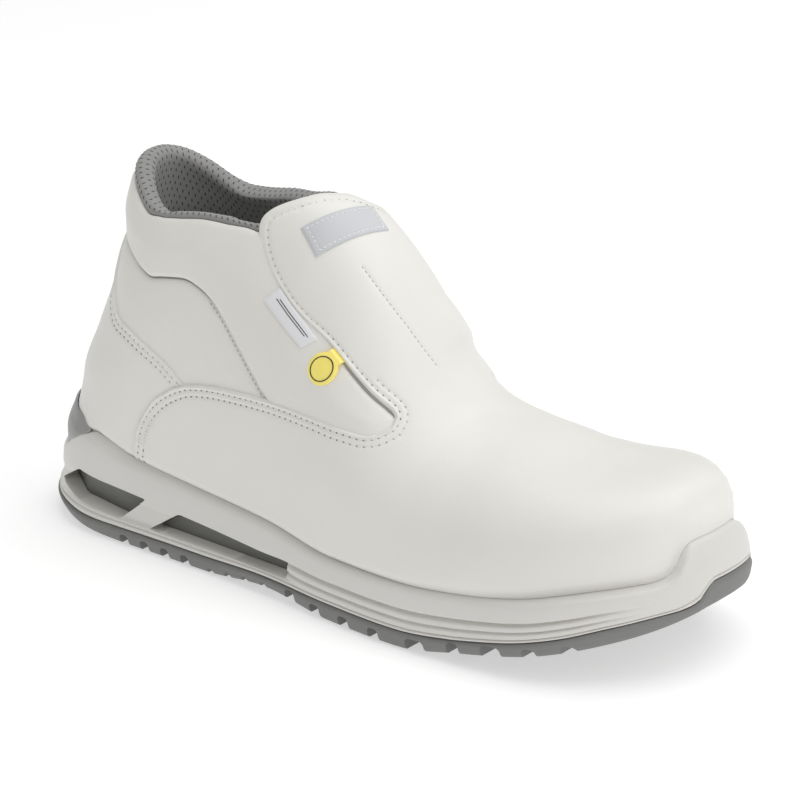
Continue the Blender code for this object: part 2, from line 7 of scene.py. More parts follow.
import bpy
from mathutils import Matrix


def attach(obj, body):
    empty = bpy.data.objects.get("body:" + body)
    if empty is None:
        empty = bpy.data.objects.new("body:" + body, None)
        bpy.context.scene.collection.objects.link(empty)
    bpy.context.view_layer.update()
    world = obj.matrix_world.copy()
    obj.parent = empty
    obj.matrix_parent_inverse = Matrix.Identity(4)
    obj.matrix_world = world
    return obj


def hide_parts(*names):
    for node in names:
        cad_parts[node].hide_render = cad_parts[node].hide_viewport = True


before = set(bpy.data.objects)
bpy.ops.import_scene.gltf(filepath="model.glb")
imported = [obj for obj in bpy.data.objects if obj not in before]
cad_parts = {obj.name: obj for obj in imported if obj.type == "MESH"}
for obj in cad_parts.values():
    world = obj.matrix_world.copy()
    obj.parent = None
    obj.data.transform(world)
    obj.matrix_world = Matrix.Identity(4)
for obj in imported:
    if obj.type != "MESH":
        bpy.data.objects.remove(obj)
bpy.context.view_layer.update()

# %% [markdown]
# ## The last
# A boot is pulled over a last, a solid foot shape, so all of its panels are parts of one smooth surface.
# A sculptor would model that surface; here short tables of sections say how wide and high the foot is, and one
# formula rounds heel, toe and ridge. A formula has no facets, so panels of any fineness can be cut from it.

# %% Sizes of the sole and the last
import math

import bmesh
import bpy
import numpy as np
from mathutils import Matrix, Vector
from mathutils.geometry import delaunay_2d_cdt
from mathutils.kdtree import KDTree

MM = 0.001
LENGTH = 302.0  # of the sole
GAP = 0.3       # between pieces that lie close to each other
WALL = 2.2      # of the lasted body


def table(columns, *rows):
    """A small table as a dictionary of named columns."""
    return dict(zip(columns.split(), np.array(rows, float).T))


SOLE = table(
    "along lateral medial ground welt floor",
    (0, 40, 38, 6, 9.5, 28.5),
    (20, 41, 39, 3, 7.5, 28.5),
    (36, 42, 39, 1, 6.8, 28.5),
    (60, 42.5, 38.5, 0, 6.5, 28.5),
    (95, 44, 37.5, 0, 6.5, 25),
    (130, 47, 38.5, 3, 7.5, 22),
    (165, 52, 43, 0, 7, 17.5),
    (199, 55.5, 48.5, 0, 7, 17.5),
    (225, 56, 52, 4, 9.5, 19.5),
    (255, 55, 52, 9.5, 15, 23),
    (284, 52, 50, 17.5, 22.5, 28),
    (294, 50, 50, 21, 26, 28.5),
    (302, 50, 50, 25, 40, 28.5),
)
# The sole's rim: a notch for the clip at the heel, and a bumper that steps up at the toe
RIM = table(
    "along z",
    (0, 29.2), (18, 29.2), (23, 29.8), (29, 33.5), (34.5, 38.4), (40.5, 41.4), (47, 40.2), (60, 36.2), (95, 32),
    (130, 29), (165, 24.5), (199, 24.5), (225, 26.5), (249, 29.8), (263, 33), (274, 35.4), (282, 36.8), (287, 37.6),
    (289.5, 38.8), (291.3, 41.8), (292.5, 47), (293.6, 50.4), (295, 51.4), (302, 51.4),
)
AXIS = table("along y", (0, 0), (170, 0), (240, 3), (302, 8))
BACK = table(
    "z along cup",
    (20, 14, 40),
    (42, 13.5, 40),
    (60, 17.5, 42),
    (80, 25.5, 46),
    (100, 30, 50),
    (116, 30.5, 50),
    (133, 27, 44),
    (152, 20, 36),
)
RIDGE = table(
    "along z arch power",
    (90, 156, 95, 2.2),
    (120, 150, 85, 2.2),
    (134, 145, 80, 2.2),
    (146, 136.5, 76, 2.1),
    (158, 124.5, 72, 2.1),
    (171, 107, 66, 2.1),
    (185, 86.5, 56, 2.1),
    (199, 75, 50, 2.2),
    (215, 71, 46, 2.4),
    (240, 69.5, 43, 3.4),
    (302, 72, 24, 5.0),
)
COLLAR = table(
    "along z",
    (0, 154),
    (22, 153),
    (36, 149),
    (50, 140),
    (70, 132.5),
    (98, 133),
    (114, 139),
    (126, 143.5),
    (140, 149),
    (170, 185),
    (302, 380),
)
# How far the sole's ends are rounded, and the powers that make them squarer than a circle
HEEL_ROUND, TOE_ROUND, HEEL_POWER, TOE_POWER = 46.0, 60.0, 2.1, 2.3
# The upper stands back from the sole's edge, and its toe is rounded over the length of the cap
UPPER_INSET, TOE_INSET, TOE_CAP = 5.0, 6.5, 79.0
CAP_POWER, CUP_POWER, WIDTH_POWER = 2.5, 2.3, 2.4
# Half widths at the ankle, and the heights between which the foot turns into the ankle
ANKLE = {"lateral": 35.5, "medial": 33.5}
ANKLE_START, ANKLE_END = 45.0, 130.0
INSIDE_LAST = 75.0  # a place along the boot that is inside the last at every height
INSOLE = 4.5        # thickness of the footbed
print(len(SOLE["along"]), "sections of the sole and", len(RIDGE["along"]), "of the ridge")


# %% The last as a formula
def read(source, column, at, key="along"):
    """A smooth curve through one column, which never overshoots its rows."""
    places, values = source[key], source[column]
    step = np.diff(places)
    rise = np.diff(values) / step
    slope = np.zeros(len(places))
    slope[0], slope[-1] = rise[0], rise[-1]
    for k in range(1, len(places) - 1):
        if rise[k - 1] * rise[k] > 0:
            slope[k] = 2 / (1 / rise[k - 1] + 1 / rise[k])
    at = np.clip(np.asarray(at, float), places[0], places[-1])
    k = np.clip(np.searchsorted(places, at, side="right") - 1, 0, len(places) - 2)
    t = (at - places[k]) / step[k]
    near = (1 + 2 * t) * (1 - t) ** 2 * values[k] + t * (1 - t) ** 2 * step[k] * slope[k]
    far = t * t * (3 - 2 * t) * values[k + 1] + t * t * (t - 1) * step[k] * slope[k + 1]
    return near + far


def soft_step(value, start, stop):
    """0 before start, 1 after stop, smooth between them."""
    t = np.clip((np.asarray(value, float) - start) / (stop - start), 0, 1)
    return t * t * (3 - 2 * t)


def rim(along):
    """Height of the sole's rim."""
    return read(RIM, "z", along)


def fullness(along, z):
    """What is left of the last's width: 1 on its flat sides, 0 where heel, toe or ridge close it."""
    toe = np.clip((along - LENGTH + TOE_INSET + TOE_CAP) / TOE_CAP, 0, None)
    arch = read(RIDGE, "arch", along)
    top = np.clip((z - read(RIDGE, "z", along) + arch) / arch, 0, None)
    cup = read(BACK, "cup", z, "z")
    heel = np.clip((read(BACK, "along", z, "z") + cup - along) / cup, 0, None)
    return 1 - toe**CAP_POWER - top ** read(RIDGE, "power", along) - heel**CUP_POWER


def last_width(along, z, side):
    """Half width on the flat sides: foot width low down, ankle width at the collar."""
    foot = read(SOLE, side, along) - UPPER_INSET
    return foot + (ANKLE[side] - foot) * soft_step(z, ANKLE_START, ANKLE_END)


def last_half(along, z, side):
    """Half width at any place, closed at heel, toe and ridge."""
    return last_width(along, z, side) * np.clip(fullness(along, z), 0, None) ** (1 / WIDTH_POWER)


def beyond(along, y, z):
    """Below 0 inside the last, 0 on its surface and above 0 outside it."""
    across = y - read(AXIS, "y", along)
    width = np.where(across < 0, last_width(along, z, "lateral"), last_width(along, z, "medial"))
    return (np.abs(across) / width) ** WIDTH_POWER - fullness(along, z)


# %% Follow level lines
def level_at(along, share):
    """Height of a level line: share 0 runs just above the sole's rim, 1 along the collar."""
    low = rim(along) + GAP
    return low + (read(COLLAR, "z", along) - low) * share


def line_end(level, outside, count):
    """Where level lines leave the last, found by halving."""
    inside, outside = np.full(count, INSIDE_LAST), np.full(count, outside)
    for _ in range(44):
        middle = (inside + outside) / 2
        keep = fullness(middle, level(middle)) > 0
        inside, outside = np.where(keep, middle, inside), np.where(keep, outside, middle)
    return inside


def travelled(points):
    """How far each point of a path lies from its start."""
    return np.r_[0, np.cumsum(np.linalg.norm(np.diff(points, axis=0), axis=1))]


def run_length(along):
    """Travel up the heel or the toe, 1 at the collar line."""
    far = travelled(np.stack([along, level_at(along, SHARES)], -1))
    return far / np.interp(1, SHARES, far)


TOP_SHARE = 1.1
SHARES = np.linspace(0, TOP_SHARE, 881)
STARTS = line_end(lambda along: level_at(along, SHARES), 0.0, len(SHARES))
STOPS = line_end(lambda along: level_at(along, SHARES), LENGTH, len(SHARES))
RISE = 0.6 * run_length(STOPS) + 0.4 * run_length(STARTS)
print("collar runs from", round(STARTS[-1], 1), "to", round(STOPS[-1], 1), "mm along the boot")


# %% Find points and directions on the last
def last_point(turn, rise):
    """A point of the last: turn 0 is the heel, 0 to 1 the lateral side, 1 the toe, 1 to 2 the medial side."""
    turn = np.mod(turn, 2)
    lateral = turn <= 1
    travel = np.where(lateral, turn, 2 - turn)
    share = np.interp(rise, RISE, SHARES)
    start, stop = np.interp(share, SHARES, STARTS), np.interp(share, SHARES, STOPS)
    along = start + (stop - start) * (1 - np.cos(np.pi * travel)) / 2
    z = level_at(along, share)
    half = np.where(lateral, -last_half(along, z, "lateral"), last_half(along, z, "medial"))
    return np.stack([along, read(AXIS, "y", along) + half, z], -1)


def side_place(points):
    """Turn and rise of points given as seen from the lateral side: (along, z)."""
    along, z = np.asarray(points, float).T
    low = rim(along) + GAP
    share = np.clip((z - low) / (read(COLLAR, "z", along) - low), 0, TOP_SHARE)
    start, stop = np.interp(share, SHARES, STARTS), np.interp(share, SHARES, STOPS)
    part = np.clip((along - start) / (stop - start), 0, 1)
    return np.stack([np.arccos(1 - 2 * part) / np.pi, np.interp(share, SHARES, RISE)], -1)


def on_last(points):
    """Turn and rise of points of the last, both sides."""
    turn, rise = side_place(points[:, (0, 2)]).T
    return np.where(points[:, 1] > read(AXIS, "y", points[:, 0]), 2 - turn, turn), rise


def outward(points, probe=0.05):
    """Unit normals of the last, level beside the sole's rim so that panels meet it squarely."""
    normal = np.zeros_like(points)
    for axis in range(3):
        step = np.zeros(3)
        step[axis] = probe
        normal[..., axis] = beyond(*np.moveaxis(points + step, -1, 0)) - beyond(*np.moveaxis(points - step, -1, 0))
    normal[..., 2] *= soft_step(points[..., 2] - rim(points[..., 0]), -2, 7)
    return normal / np.linalg.norm(normal, axis=-1, keepdims=True)


# %% [markdown]
# ## Camera, light and floor
# The photograph was taken with a long lens from the front of the lateral side, a little above the boot.
# A long lens is set far away, which keeps the sole's lines nearly parallel. Two broad lamps and a pale
# surround give the even, almost shadowless light of a catalogue picture.

# %% Set the studio
VIEW_TURN, VIEW_RISE, VIEW_FAR = math.radians(37.61), math.radians(21.31), 1.6
FOCAL_PX, FRAME_PX, SENSOR = 4255.7, 800.0, 36.0
OFF_CENTRE = (19.95, 17.85)
TARGET = Vector((-0.001, 0, 0.062))
LAMP_AIM = Vector((0, 0, 0.05))
SURROUND = 0.4

back = Vector((
    math.sin(VIEW_TURN) * math.cos(VIEW_RISE), -math.cos(VIEW_TURN) * math.cos(VIEW_RISE), math.sin(VIEW_RISE),
))
right = Vector((math.cos(VIEW_TURN), math.sin(VIEW_TURN), 0))
above = back.cross(right)
camera = bpy.data.objects.new("camera", bpy.data.cameras.new("camera"))
bpy.context.scene.collection.objects.link(camera)
camera.data.lens = FOCAL_PX / FRAME_PX * SENSOR
camera.data.sensor_width = SENSOR
camera.data.clip_start, camera.data.clip_end = 0.05, 50
camera.location = TARGET + VIEW_FAR * back
aim = -back + right * (OFF_CENTRE[0] / FOCAL_PX) + above * (OFF_CENTRE[1] / FOCAL_PX)
turned_up = (above - aim * (above.dot(aim) / aim.length_squared)).normalized()
turned_right = aim.normalized().cross(turned_up)
camera.rotation_euler = Matrix((turned_right, turned_up, -aim.normalized())).transposed().to_euler()
bpy.context.scene.camera = camera


# %% Hang the lamps
def lamp(name, place, size, power):
    """A broad square lamp aimed at the middle of the boot."""
    light = bpy.data.lights.new(name, "AREA")
    light.size = size
    light.energy = power
    made = bpy.data.objects.new(name, light)
    made.location = place
    made.rotation_euler = (LAMP_AIM - Vector(place)).to_track_quat("-Z", "Y").to_euler()
    bpy.context.scene.collection.objects.link(made)


lamp("top", place=(0.3, 0.3, 1.6), size=1.8, power=18.5)
lamp("front", place=(1.3, -0.1, 0.9), size=1.0, power=3.2)
world = bpy.data.worlds.new("studio")
world.use_nodes = True
world.node_tree.nodes["Background"].inputs["Color"].default_value = (1, 1, 1, 1)
world.node_tree.nodes["Background"].inputs["Strength"].default_value = SURROUND
bpy.context.scene.world = world
bpy.context.scene.view_settings.view_transform = "Standard"
print("camera", round(camera.data.lens, 1), "mm,", VIEW_FAR, "m away")

# %% [markdown]
# ## Finishes
# White work boots are made of coated microfibre: a matt, slightly warm white with a very fine grain, a little
# sheen and hardly any colour of its own. The sole is moulded foam and rubber, smoother, with a faint pebble.
# One function makes all of these: two noises mottle the colour and the roughness, a finer one lifts a bump.

# %% Make finishes
def finish(name, colour, roughness, grain, depth, mottle=0.03, patchy=60.0, **sockets):
    """A material with a grain of the given size in mm, and soft patches of slightly other colour and gloss."""
    made = bpy.data.materials.new(name)
    made.use_nodes = True
    tree = made.node_tree
    shader = tree.nodes["Principled BSDF"]
    for socket, value in sockets.items():
        shader.inputs[socket.replace("_", " ")].default_value = value
    where = tree.nodes.new("ShaderNodeTexCoord")
    cloud = tree.nodes.new("ShaderNodeTexNoise")
    cloud.inputs["Scale"].default_value = patchy
    cloud.inputs["Detail"].default_value = 4
    tint = tree.nodes.new("ShaderNodeMix")
    tint.data_type = "RGBA"
    tint.inputs["A"].default_value = (*(c * (1 - mottle) for c in colour), 1)
    tint.inputs["B"].default_value = (*(min(1, c * (1 + mottle)) for c in colour), 1)
    gloss = tree.nodes.new("ShaderNodeMapRange")
    gloss.inputs["To Min"].default_value = roughness - 0.06
    gloss.inputs["To Max"].default_value = roughness + 0.06
    fine = tree.nodes.new("ShaderNodeTexNoise")
    fine.inputs["Scale"].default_value = 1 / (grain * MM)
    fine.inputs["Detail"].default_value = 3
    bump = tree.nodes.new("ShaderNodeBump")
    bump.inputs["Strength"].default_value = 0.6
    bump.inputs["Distance"].default_value = depth * MM
    link = tree.links.new
    for noise in (cloud, fine):
        link(where.outputs["Object"], noise.inputs["Vector"])
    link(cloud.outputs["Fac"], tint.inputs["Factor"])
    link(cloud.outputs["Fac"], gloss.inputs["Value"])
    link(tint.outputs["Result"], shader.inputs["Base Color"])
    link(gloss.outputs["Result"], shader.inputs["Roughness"])
    link(fine.outputs["Fac"], bump.inputs["Height"])
    link(bump.outputs["Normal"], shader.inputs["Normal"])
    return made


# %% Mix the finishes
FLOOR = finish(
    "pale_floor", (0.62, 0.62, 0.62), 0.7, 3.0, 0.02, 0.003, 8, Emission_Color=(1, 1, 1, 1), Emission_Strength=0.5
)
MICROFIBRE = finish("microfibre", (0.84, 0.83, 0.785), 0.5, 0.7, 0.09, 0.014, Sheen_Weight=0.12, Coat_Weight=0.05)
SOFT_FIBRE = finish("soft_microfibre", (0.84, 0.825, 0.775), 0.5, 0.8, 0.10, 0.016, Sheen_Weight=0.15)
BODY = finish("body_cloth", (0.74, 0.73, 0.70), 0.65, 0.6, 0.05, 0.02)
FOAM = finish("white_foam", (0.74, 0.725, 0.69), 0.46, 0.9, 0.03, 0.012, Coat_Weight=0.08, Coat_Roughness=0.35)
RUBBER = finish("grey_rubber", (0.215, 0.215, 0.21), 0.6, 0.7, 0.05, 0.05)
CORE = finish("dark_foam", (0.20, 0.20, 0.19), 0.7, 0.9, 0.08, 0.06)
PLASTIC = finish("grey_plastic", (0.34, 0.34, 0.33), 0.45, 0.6, 0.03, 0.04)
MESH = finish("grey_mesh", (0.30, 0.297, 0.29), 0.9, 0.9, 0.15, 0.08, 200, Sheen_Weight=0.25)
# Painted shade: the dark seen in the lining's slits
SLIT_SHADE = finish("painted_slit_shade", (0.07, 0.07, 0.07), 0.9, 0.5, 0.02)
FOOTBED = finish("footbed", (0.24, 0.24, 0.25), 0.95, 0.8, 0.1, 0.08, 150)
THREAD = finish("thread", (0.78, 0.77, 0.74), 0.7, 0.2, 0.02, 0.03)
DART = finish("dart_thread", (0.42, 0.415, 0.40), 0.8, 0.2, 0.02, 0.03)
# Painted shade: the dark inside the needle holes, drawn as beads on the surface
NEEDLE_HOLE_SHADE = finish("needle_hole_shade", (0.22, 0.215, 0.21), 0.9, 0.3, 0.01)
# Painted shadow: the colour of the strip that lies in the fold under the collar panel
FOLD_SHADE = finish("painted_fold_shade", (0.27, 0.26, 0.24), 0.9, 0.4, 0.02)
PATCH_CLOTH = finish("patch_cloth", (0.62, 0.63, 0.65), 0.55, 0.5, 0.08, 0.04)
RIBBON = finish("ribbon", (0.84, 0.84, 0.86), 0.6, 0.4, 0.04, 0.02)
# The tag's yellow is its own colour; its emission is a painted glow for light that shines through the plastic
YELLOW_PAINTED_GLOW = finish(
    "yellow_tag_painted_glow", (0.98, 0.82, 0.2), 0.35, 0.8, 0.02, 0.03, Subsurface_Weight=0.2, Coat_Weight=0.2,
    Emission_Color=(1, 0.75, 0.12, 1), Emission_Strength=0.18,
)
PRINT = finish("printed_ring", (0.03, 0.03, 0.028), 0.5, 0.5, 0.01)
ELASTIC = finish("elastic", (0.52, 0.51, 0.48), 0.8, 0.6, 0.1, 0.08)
print(len(bpy.data.materials), "finishes")

# %% Lay the floor
floor_mesh = bpy.data.meshes.new("floor")
floor_mesh.from_pydata([(-4, -4, 0), (4, -4, 0), (4, 4, 0), (-4, 4, 0)], [], [(0, 1, 2, 3)])
floor_mesh.materials.append(FLOOR)
floor = bpy.data.objects.new("floor", floor_mesh)
bpy.context.scene.collection.objects.link(floor)


# %% [markdown]
# ## Mesh helpers
# Every piece below is built from points in millimetres. Rings of points are joined into bands, and a finished
# piece hides the imported solid that it stands for.

# %% Build a mesh and hand it to the frame
def to_world(points):
    """Points in mm from the heel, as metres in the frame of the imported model."""
    return (np.asarray(points, float).reshape(-1, 3) - (LENGTH / 2, 0, 0)) * MM


def mesh_object(name, points, faces, look):
    """A mesh from points in mm, with its faces outward."""
    mesh = bpy.data.meshes.new(name)
    mesh.from_pydata(to_world(points).tolist(), [], faces)
    work = bmesh.new()
    work.from_mesh(mesh)
    bmesh.ops.recalc_face_normals(work, faces=work.faces)
    work.to_mesh(mesh)
    work.free()
    mesh.materials.append(look)
    made = bpy.data.objects.new(name, mesh)
    bpy.context.scene.collection.objects.link(made)
    return made


def hand_over(made, slot, *nodes, sharp=48, padding=None):
    """Shade the piece smooth but for real edges, attach it to the root body and hide the solids it replaces; the
    slot is not used.
    """
    made.data.shade_smooth()
    made.data.set_sharp_from_angle(angle=math.radians(sharp))
    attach(made, "root")
    if nodes:
        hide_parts(*nodes)
    print(made.name, len(made.data.polygons), "faces")


# %% Join loops into bands
def bands(rows, columns, closed=False):
    """Squares between neighbouring loops; closed joins the last loop to the first."""
    row, column = np.meshgrid(np.arange(rows if closed else rows - 1), np.arange(columns), indexing="ij")
    low, high, after = row * columns, (row + 1) % rows * columns, (column + 1) % columns
    return np.stack([low + column, low + after, high + after, high + column], -1).reshape(-1, 4).tolist()


def tube(name, loops, look):
    """A ring-shaped solid: its section is drawn by the loops, and the last loop joins the first."""
    return mesh_object(name, np.array(loops), bands(len(loops), len(loops[0]), closed=True), look)


def cap(first, columns):
    """Faces that close a loop straight across the boot."""
    end = first + 2 * columns
    faces = [(first, first + 1, end - 1)]
    for column in range(1, columns - 1):
        faces.append((first + column, first + column + 1, end - column - 1, end - column))
    faces.append((first + columns - 1, first + columns, first + columns + 1))
    return faces


def stacked(name, loops, look):
    """A solid from loops round the boot, stacked and closed at both ends."""
    whole = len(loops[0])
    faces = bands(len(loops), whole) + cap(0, whole // 2) + cap((len(loops) - 1) * whole, whole // 2)
    return mesh_object(name, np.array(loops), faces, look)


# %% Apply modifiers and cuts
def bake(made):
    """Replace a piece's mesh by what its modifiers make of it."""
    graph = bpy.context.evaluated_depsgraph_get()
    mesh = bpy.data.meshes.new_from_object(made.evaluated_get(graph))
    old = made.data
    made.modifiers.clear()
    made.data = mesh
    bpy.data.meshes.remove(old)


def cut(target, cutter):
    """Cut one piece out of another, remove the cutter and split the many-sided faces that it leaves."""
    step = target.modifiers.new("cut", "BOOLEAN")
    step.operation, step.object, step.solver = "DIFFERENCE", cutter, "EXACT"
    bake(target)
    bpy.data.objects.remove(cutter, do_unlink=True)
    work = bmesh.new()
    work.from_mesh(target.data)
    bmesh.ops.triangulate(work, faces=[face for face in work.faces if len(face.verts) > 4])
    work.to_mesh(target.data)
    work.free()


# %% [markdown]
# ## The lasted body
# Under the panels a boot has one hollow body. It is seen only in the seams and inside, so a plain grid of the
# last's surface with a wall behind it is enough; it starts down in the sole's cup and stops below the collar's
# roll and the flap.

# %% Build the body
SIDE_COLUMNS = 90
BODY_TOP = table(
    "turn rise",
    (-1, 0.88), (-0.8, 0.88), (-0.74, 0.91), (-0.66, 0.97), (-0.6, 0.985), (0, 0.985), (0.6, 0.985), (0.72, 0.93),
    (0.85, 0.91), (1, 0.88),
)


def around(columns=SIDE_COLUMNS):
    """Turns for one closed loop, heel to toe and back."""
    return np.arange(2 * columns) / columns


def signed(turn):
    """Turns with the medial side counted below 0, as the tables by turn have it."""
    return np.where(turn > 1, turn - 2, turn)


def level_loop(level, columns=SIDE_COLUMNS):
    """The last's outline along one level line."""
    start, stop = line_end(level, 0.0, 1)[0], line_end(level, LENGTH, 1)[0]
    turn = around(columns)
    travel = 1 - np.abs(1 - turn)
    along = start + (stop - start) * (1 - np.cos(np.pi * travel)) / 2
    z = level(along)
    half = np.where(turn <= 1, -last_half(along, z, "lateral"), last_half(along, z, "medial"))
    half[[0, columns]] = 0
    return np.stack([along, read(AXIS, "y", along) + half, z], -1)


def cup_floor(along):
    """Height of the floor inside the sole's cup."""
    return read(SOLE, "floor", along)


body_top = read(BODY_TOP, "rise", signed(around()), "turn")
body_rows = np.array([last_point(around(), part * body_top) for part in np.linspace(0, 1, 44)])
body_rows = np.concatenate([level_loop(lambda along: cup_floor(along) + GAP)[None], body_rows])
body_inner = body_rows - WALL * outward(body_rows)
body_inner[0, :, 2] = body_rows[0, :, 2]
body = tube("lasted_body", np.concatenate([body_rows, body_inner[::-1]]), BODY)
hand_over(body, "white_body", "upper")

# %% [markdown]
# ## Panels that follow the last
# A real panel is cut flat with a curved outline, skived thin where it goes under its neighbour and rolled where
# it lies on top. Here its outline is drawn in the last's own two coordinates, filled with well shaped triangles,
# and lifted off the last by a height that depends on the distance to the edge, to seams and to creases.

# %% Draw outlines on the last
COUNTER_EDGE = ((40, 117), (40.8, 109), (42.5, 98), (49, 89.5), (59, 86.4), (74.5, 80.2), (87, 72.5))
WING_BACK = ((61, 30), (61.5, 38), (64, 51), (71, 62), (80, 69), (88, 72.8))
WING_TOP = ((88, 72.8), (99, 75), (116, 76.3), (133, 76.8), (150, 76), (166, 74), (175, 73), (180.5, 75.5))
FLAP_EDGE = (
    (180.5, 75.5), (179.5, 80), (169, 88), (152, 101.5), (139, 109), (127, 118), (118.5, 126), (113.6, 133.5),
    (112.6, 138.2), (114.9, 141.6), (119, 144), (123.5, 145.7),
)
# The flap's top edge is seen end on from the side, so it is given by turn and rise
FLAP_TOP = ((1.19, 0.945), (1.12, 0.948), (1.075, 0.962), (1.035, 0.984), (1.0, 1.0), (0.965, 1.009), (0.92, 1.018))
QUARTER_SEAM = (
    (38, 119.5), (45, 117), (53.5, 113.7), (60, 110.8), (66, 109.3), (72, 110.5), (82, 112), (88, 111), (95, 108),
    (103, 102), (114, 91), (123, 82), (129, 76.2),
)


# %% Handle runs on the last
def smooth_run(points, pieces=6):
    """Points on a Catmull-Rom curve through the given points."""
    p = np.array(points, float)
    p = np.vstack([2 * p[0] - p[1], p, 2 * p[-1] - p[-2]])
    run = []
    for k in range(1, len(p) - 2):
        for t in np.arange(pieces) / pieces:
            bend = 2 * p[k - 1] - 5 * p[k] + 4 * p[k + 1] - p[k + 2]
            twist = 3 * p[k] - p[k - 1] - 3 * p[k + 1] + p[k + 2]
            run.append(p[k] + 0.5 * t * (p[k + 1] - p[k - 1] + t * (bend + t * twist)))
    return np.array(run + [p[-2]])


def at_travel(points, far, at):
    """Points of a path at given distances from its start."""
    return np.stack([np.interp(at, far, column) for column in points.T], -1)


def spaced(run, gap):
    """A run on the last with its points evenly spaced, in mm."""
    fine = np.concatenate([np.linspace(a, b, 12, endpoint=False) for a, b in zip(run[:-1], run[1:])] + [run[-1:]])
    far = travelled(last_point(*fine.T))
    return at_travel(fine, far, np.linspace(0, far[-1], max(2, round(far[-1] / gap) + 1)))


def moved(run, distance):
    """A run moved sideways on the last, to its left as seen from outside, in mm."""
    turn, rise = run[:, 0], np.clip(run[:, 1], 0.001, RISE[-1] - 0.001)
    step = 0.0004
    by_turn = (last_point(turn + step, rise) - last_point(turn - step, rise)) / (2 * step)
    by_rise = (last_point(turn, rise + step) - last_point(turn, rise - step)) / (2 * step)
    ahead = np.gradient(run, axis=0)
    side = np.cross(outward(last_point(turn, rise)), ahead[:, :1] * by_turn + ahead[:, 1:] * by_rise)
    side /= np.linalg.norm(side, axis=1, keepdims=True) + 1e-12
    a, b, c = (by_turn**2).sum(1), (by_turn * by_rise).sum(1), (by_rise**2).sum(1)
    p, q = (side * by_turn).sum(1), (side * by_rise).sum(1)
    shift = np.stack([c * p - b * q, a * q - b * p], -1) / (a * c - b * b)[:, None]
    made = run + np.reshape(distance, (-1, 1)) * shift
    made[:, 1] = np.clip(made[:, 1], 0, RISE[-1])
    return made


def toe_side(run):
    """The same run on the medial side, reached round the toe."""
    return np.stack([2 - run[:, 0], run[:, 1]], -1)


def heel_side(run):
    """The same run on the medial side, reached round the heel."""
    return np.stack([-run[:, 0], run[:, 1]], -1)


def round_heel(runs):
    """The same outline on the medial side, drawn so that it goes on round the heel."""
    return [heel_side(run)[::-1] for run in reversed(runs)]


def linked(*runs):
    """Runs in a ring, with a straight bridge wherever one does not start at the end of the one before."""
    made = []
    for run, after in zip(runs, runs[1:] + runs[:1]):
        made.append(run)
        if np.linalg.norm(run[-1] - after[0]) > 1e-6:
            made.append(np.array([run[-1], after[0]]))
    return made


def level_run(start, stop, rise, count):
    """A run that stays at one rise."""
    return np.stack([np.linspace(start, stop, count), np.full(count, rise)], -1)


# %% Place the outlines
counter_edge = side_place(smooth_run(COUNTER_EDGE))
wing_back = side_place(smooth_run(WING_BACK))
wing_top = side_place(smooth_run(WING_TOP))
flap_edge = side_place(smooth_run(FLAP_EDGE))
quarter_seam = side_place(smooth_run(QUARTER_SEAM))
print("flap meets the collar at turn", round(flap_edge[-1, 0], 3), "rise", round(flap_edge[-1, 1], 3))


# %% Fill an outline and lift it
RINGS = (0.3, 0.65, 1.1, 1.7, 2.5, 3.6)     # guide rows inside a panel's edge, in mm
LINE_ROWS = (-1.1, -0.5, 0, 0.5, 1.1)       # guide rows on and beside a row of stitches
LINE_CLEAR, GUIDE_GAP = 1.6, 0.25
TURN_SCALE, RISE_SCALE = 330.0, 170.0       # rough size of one turn and one rise


def distance_to(*runs):
    """A function that measures how far points lie from the nearest of these runs, in mm."""
    places = np.concatenate([last_point(*spaced(run, 0.2).T) for run in runs])
    tree = KDTree(len(places))
    for k, place in enumerate(places):
        tree.insert(place, k)
    tree.balance()
    return lambda points: np.array([tree.find(point)[2] for point in points])


def inside(points, outline):
    """Which points lie within a closed outline."""
    x, y = points.T
    within = np.zeros(len(points), bool)
    for (ax, ay), (bx, by) in zip(outline, np.roll(outline, -1, 0)):
        if ay != by:
            within ^= ((ay > y) != (by > y)) & (x < (bx - ax) * (y - ay) / (by - ay) + ax)
    return within


def thinned(points, gap):
    """One point of each small cell of space."""
    cells = np.round(last_point(*points.T) / gap).astype(int)
    first = np.unique(cells, axis=0, return_index=True)[1]
    return points[np.sort(first)]


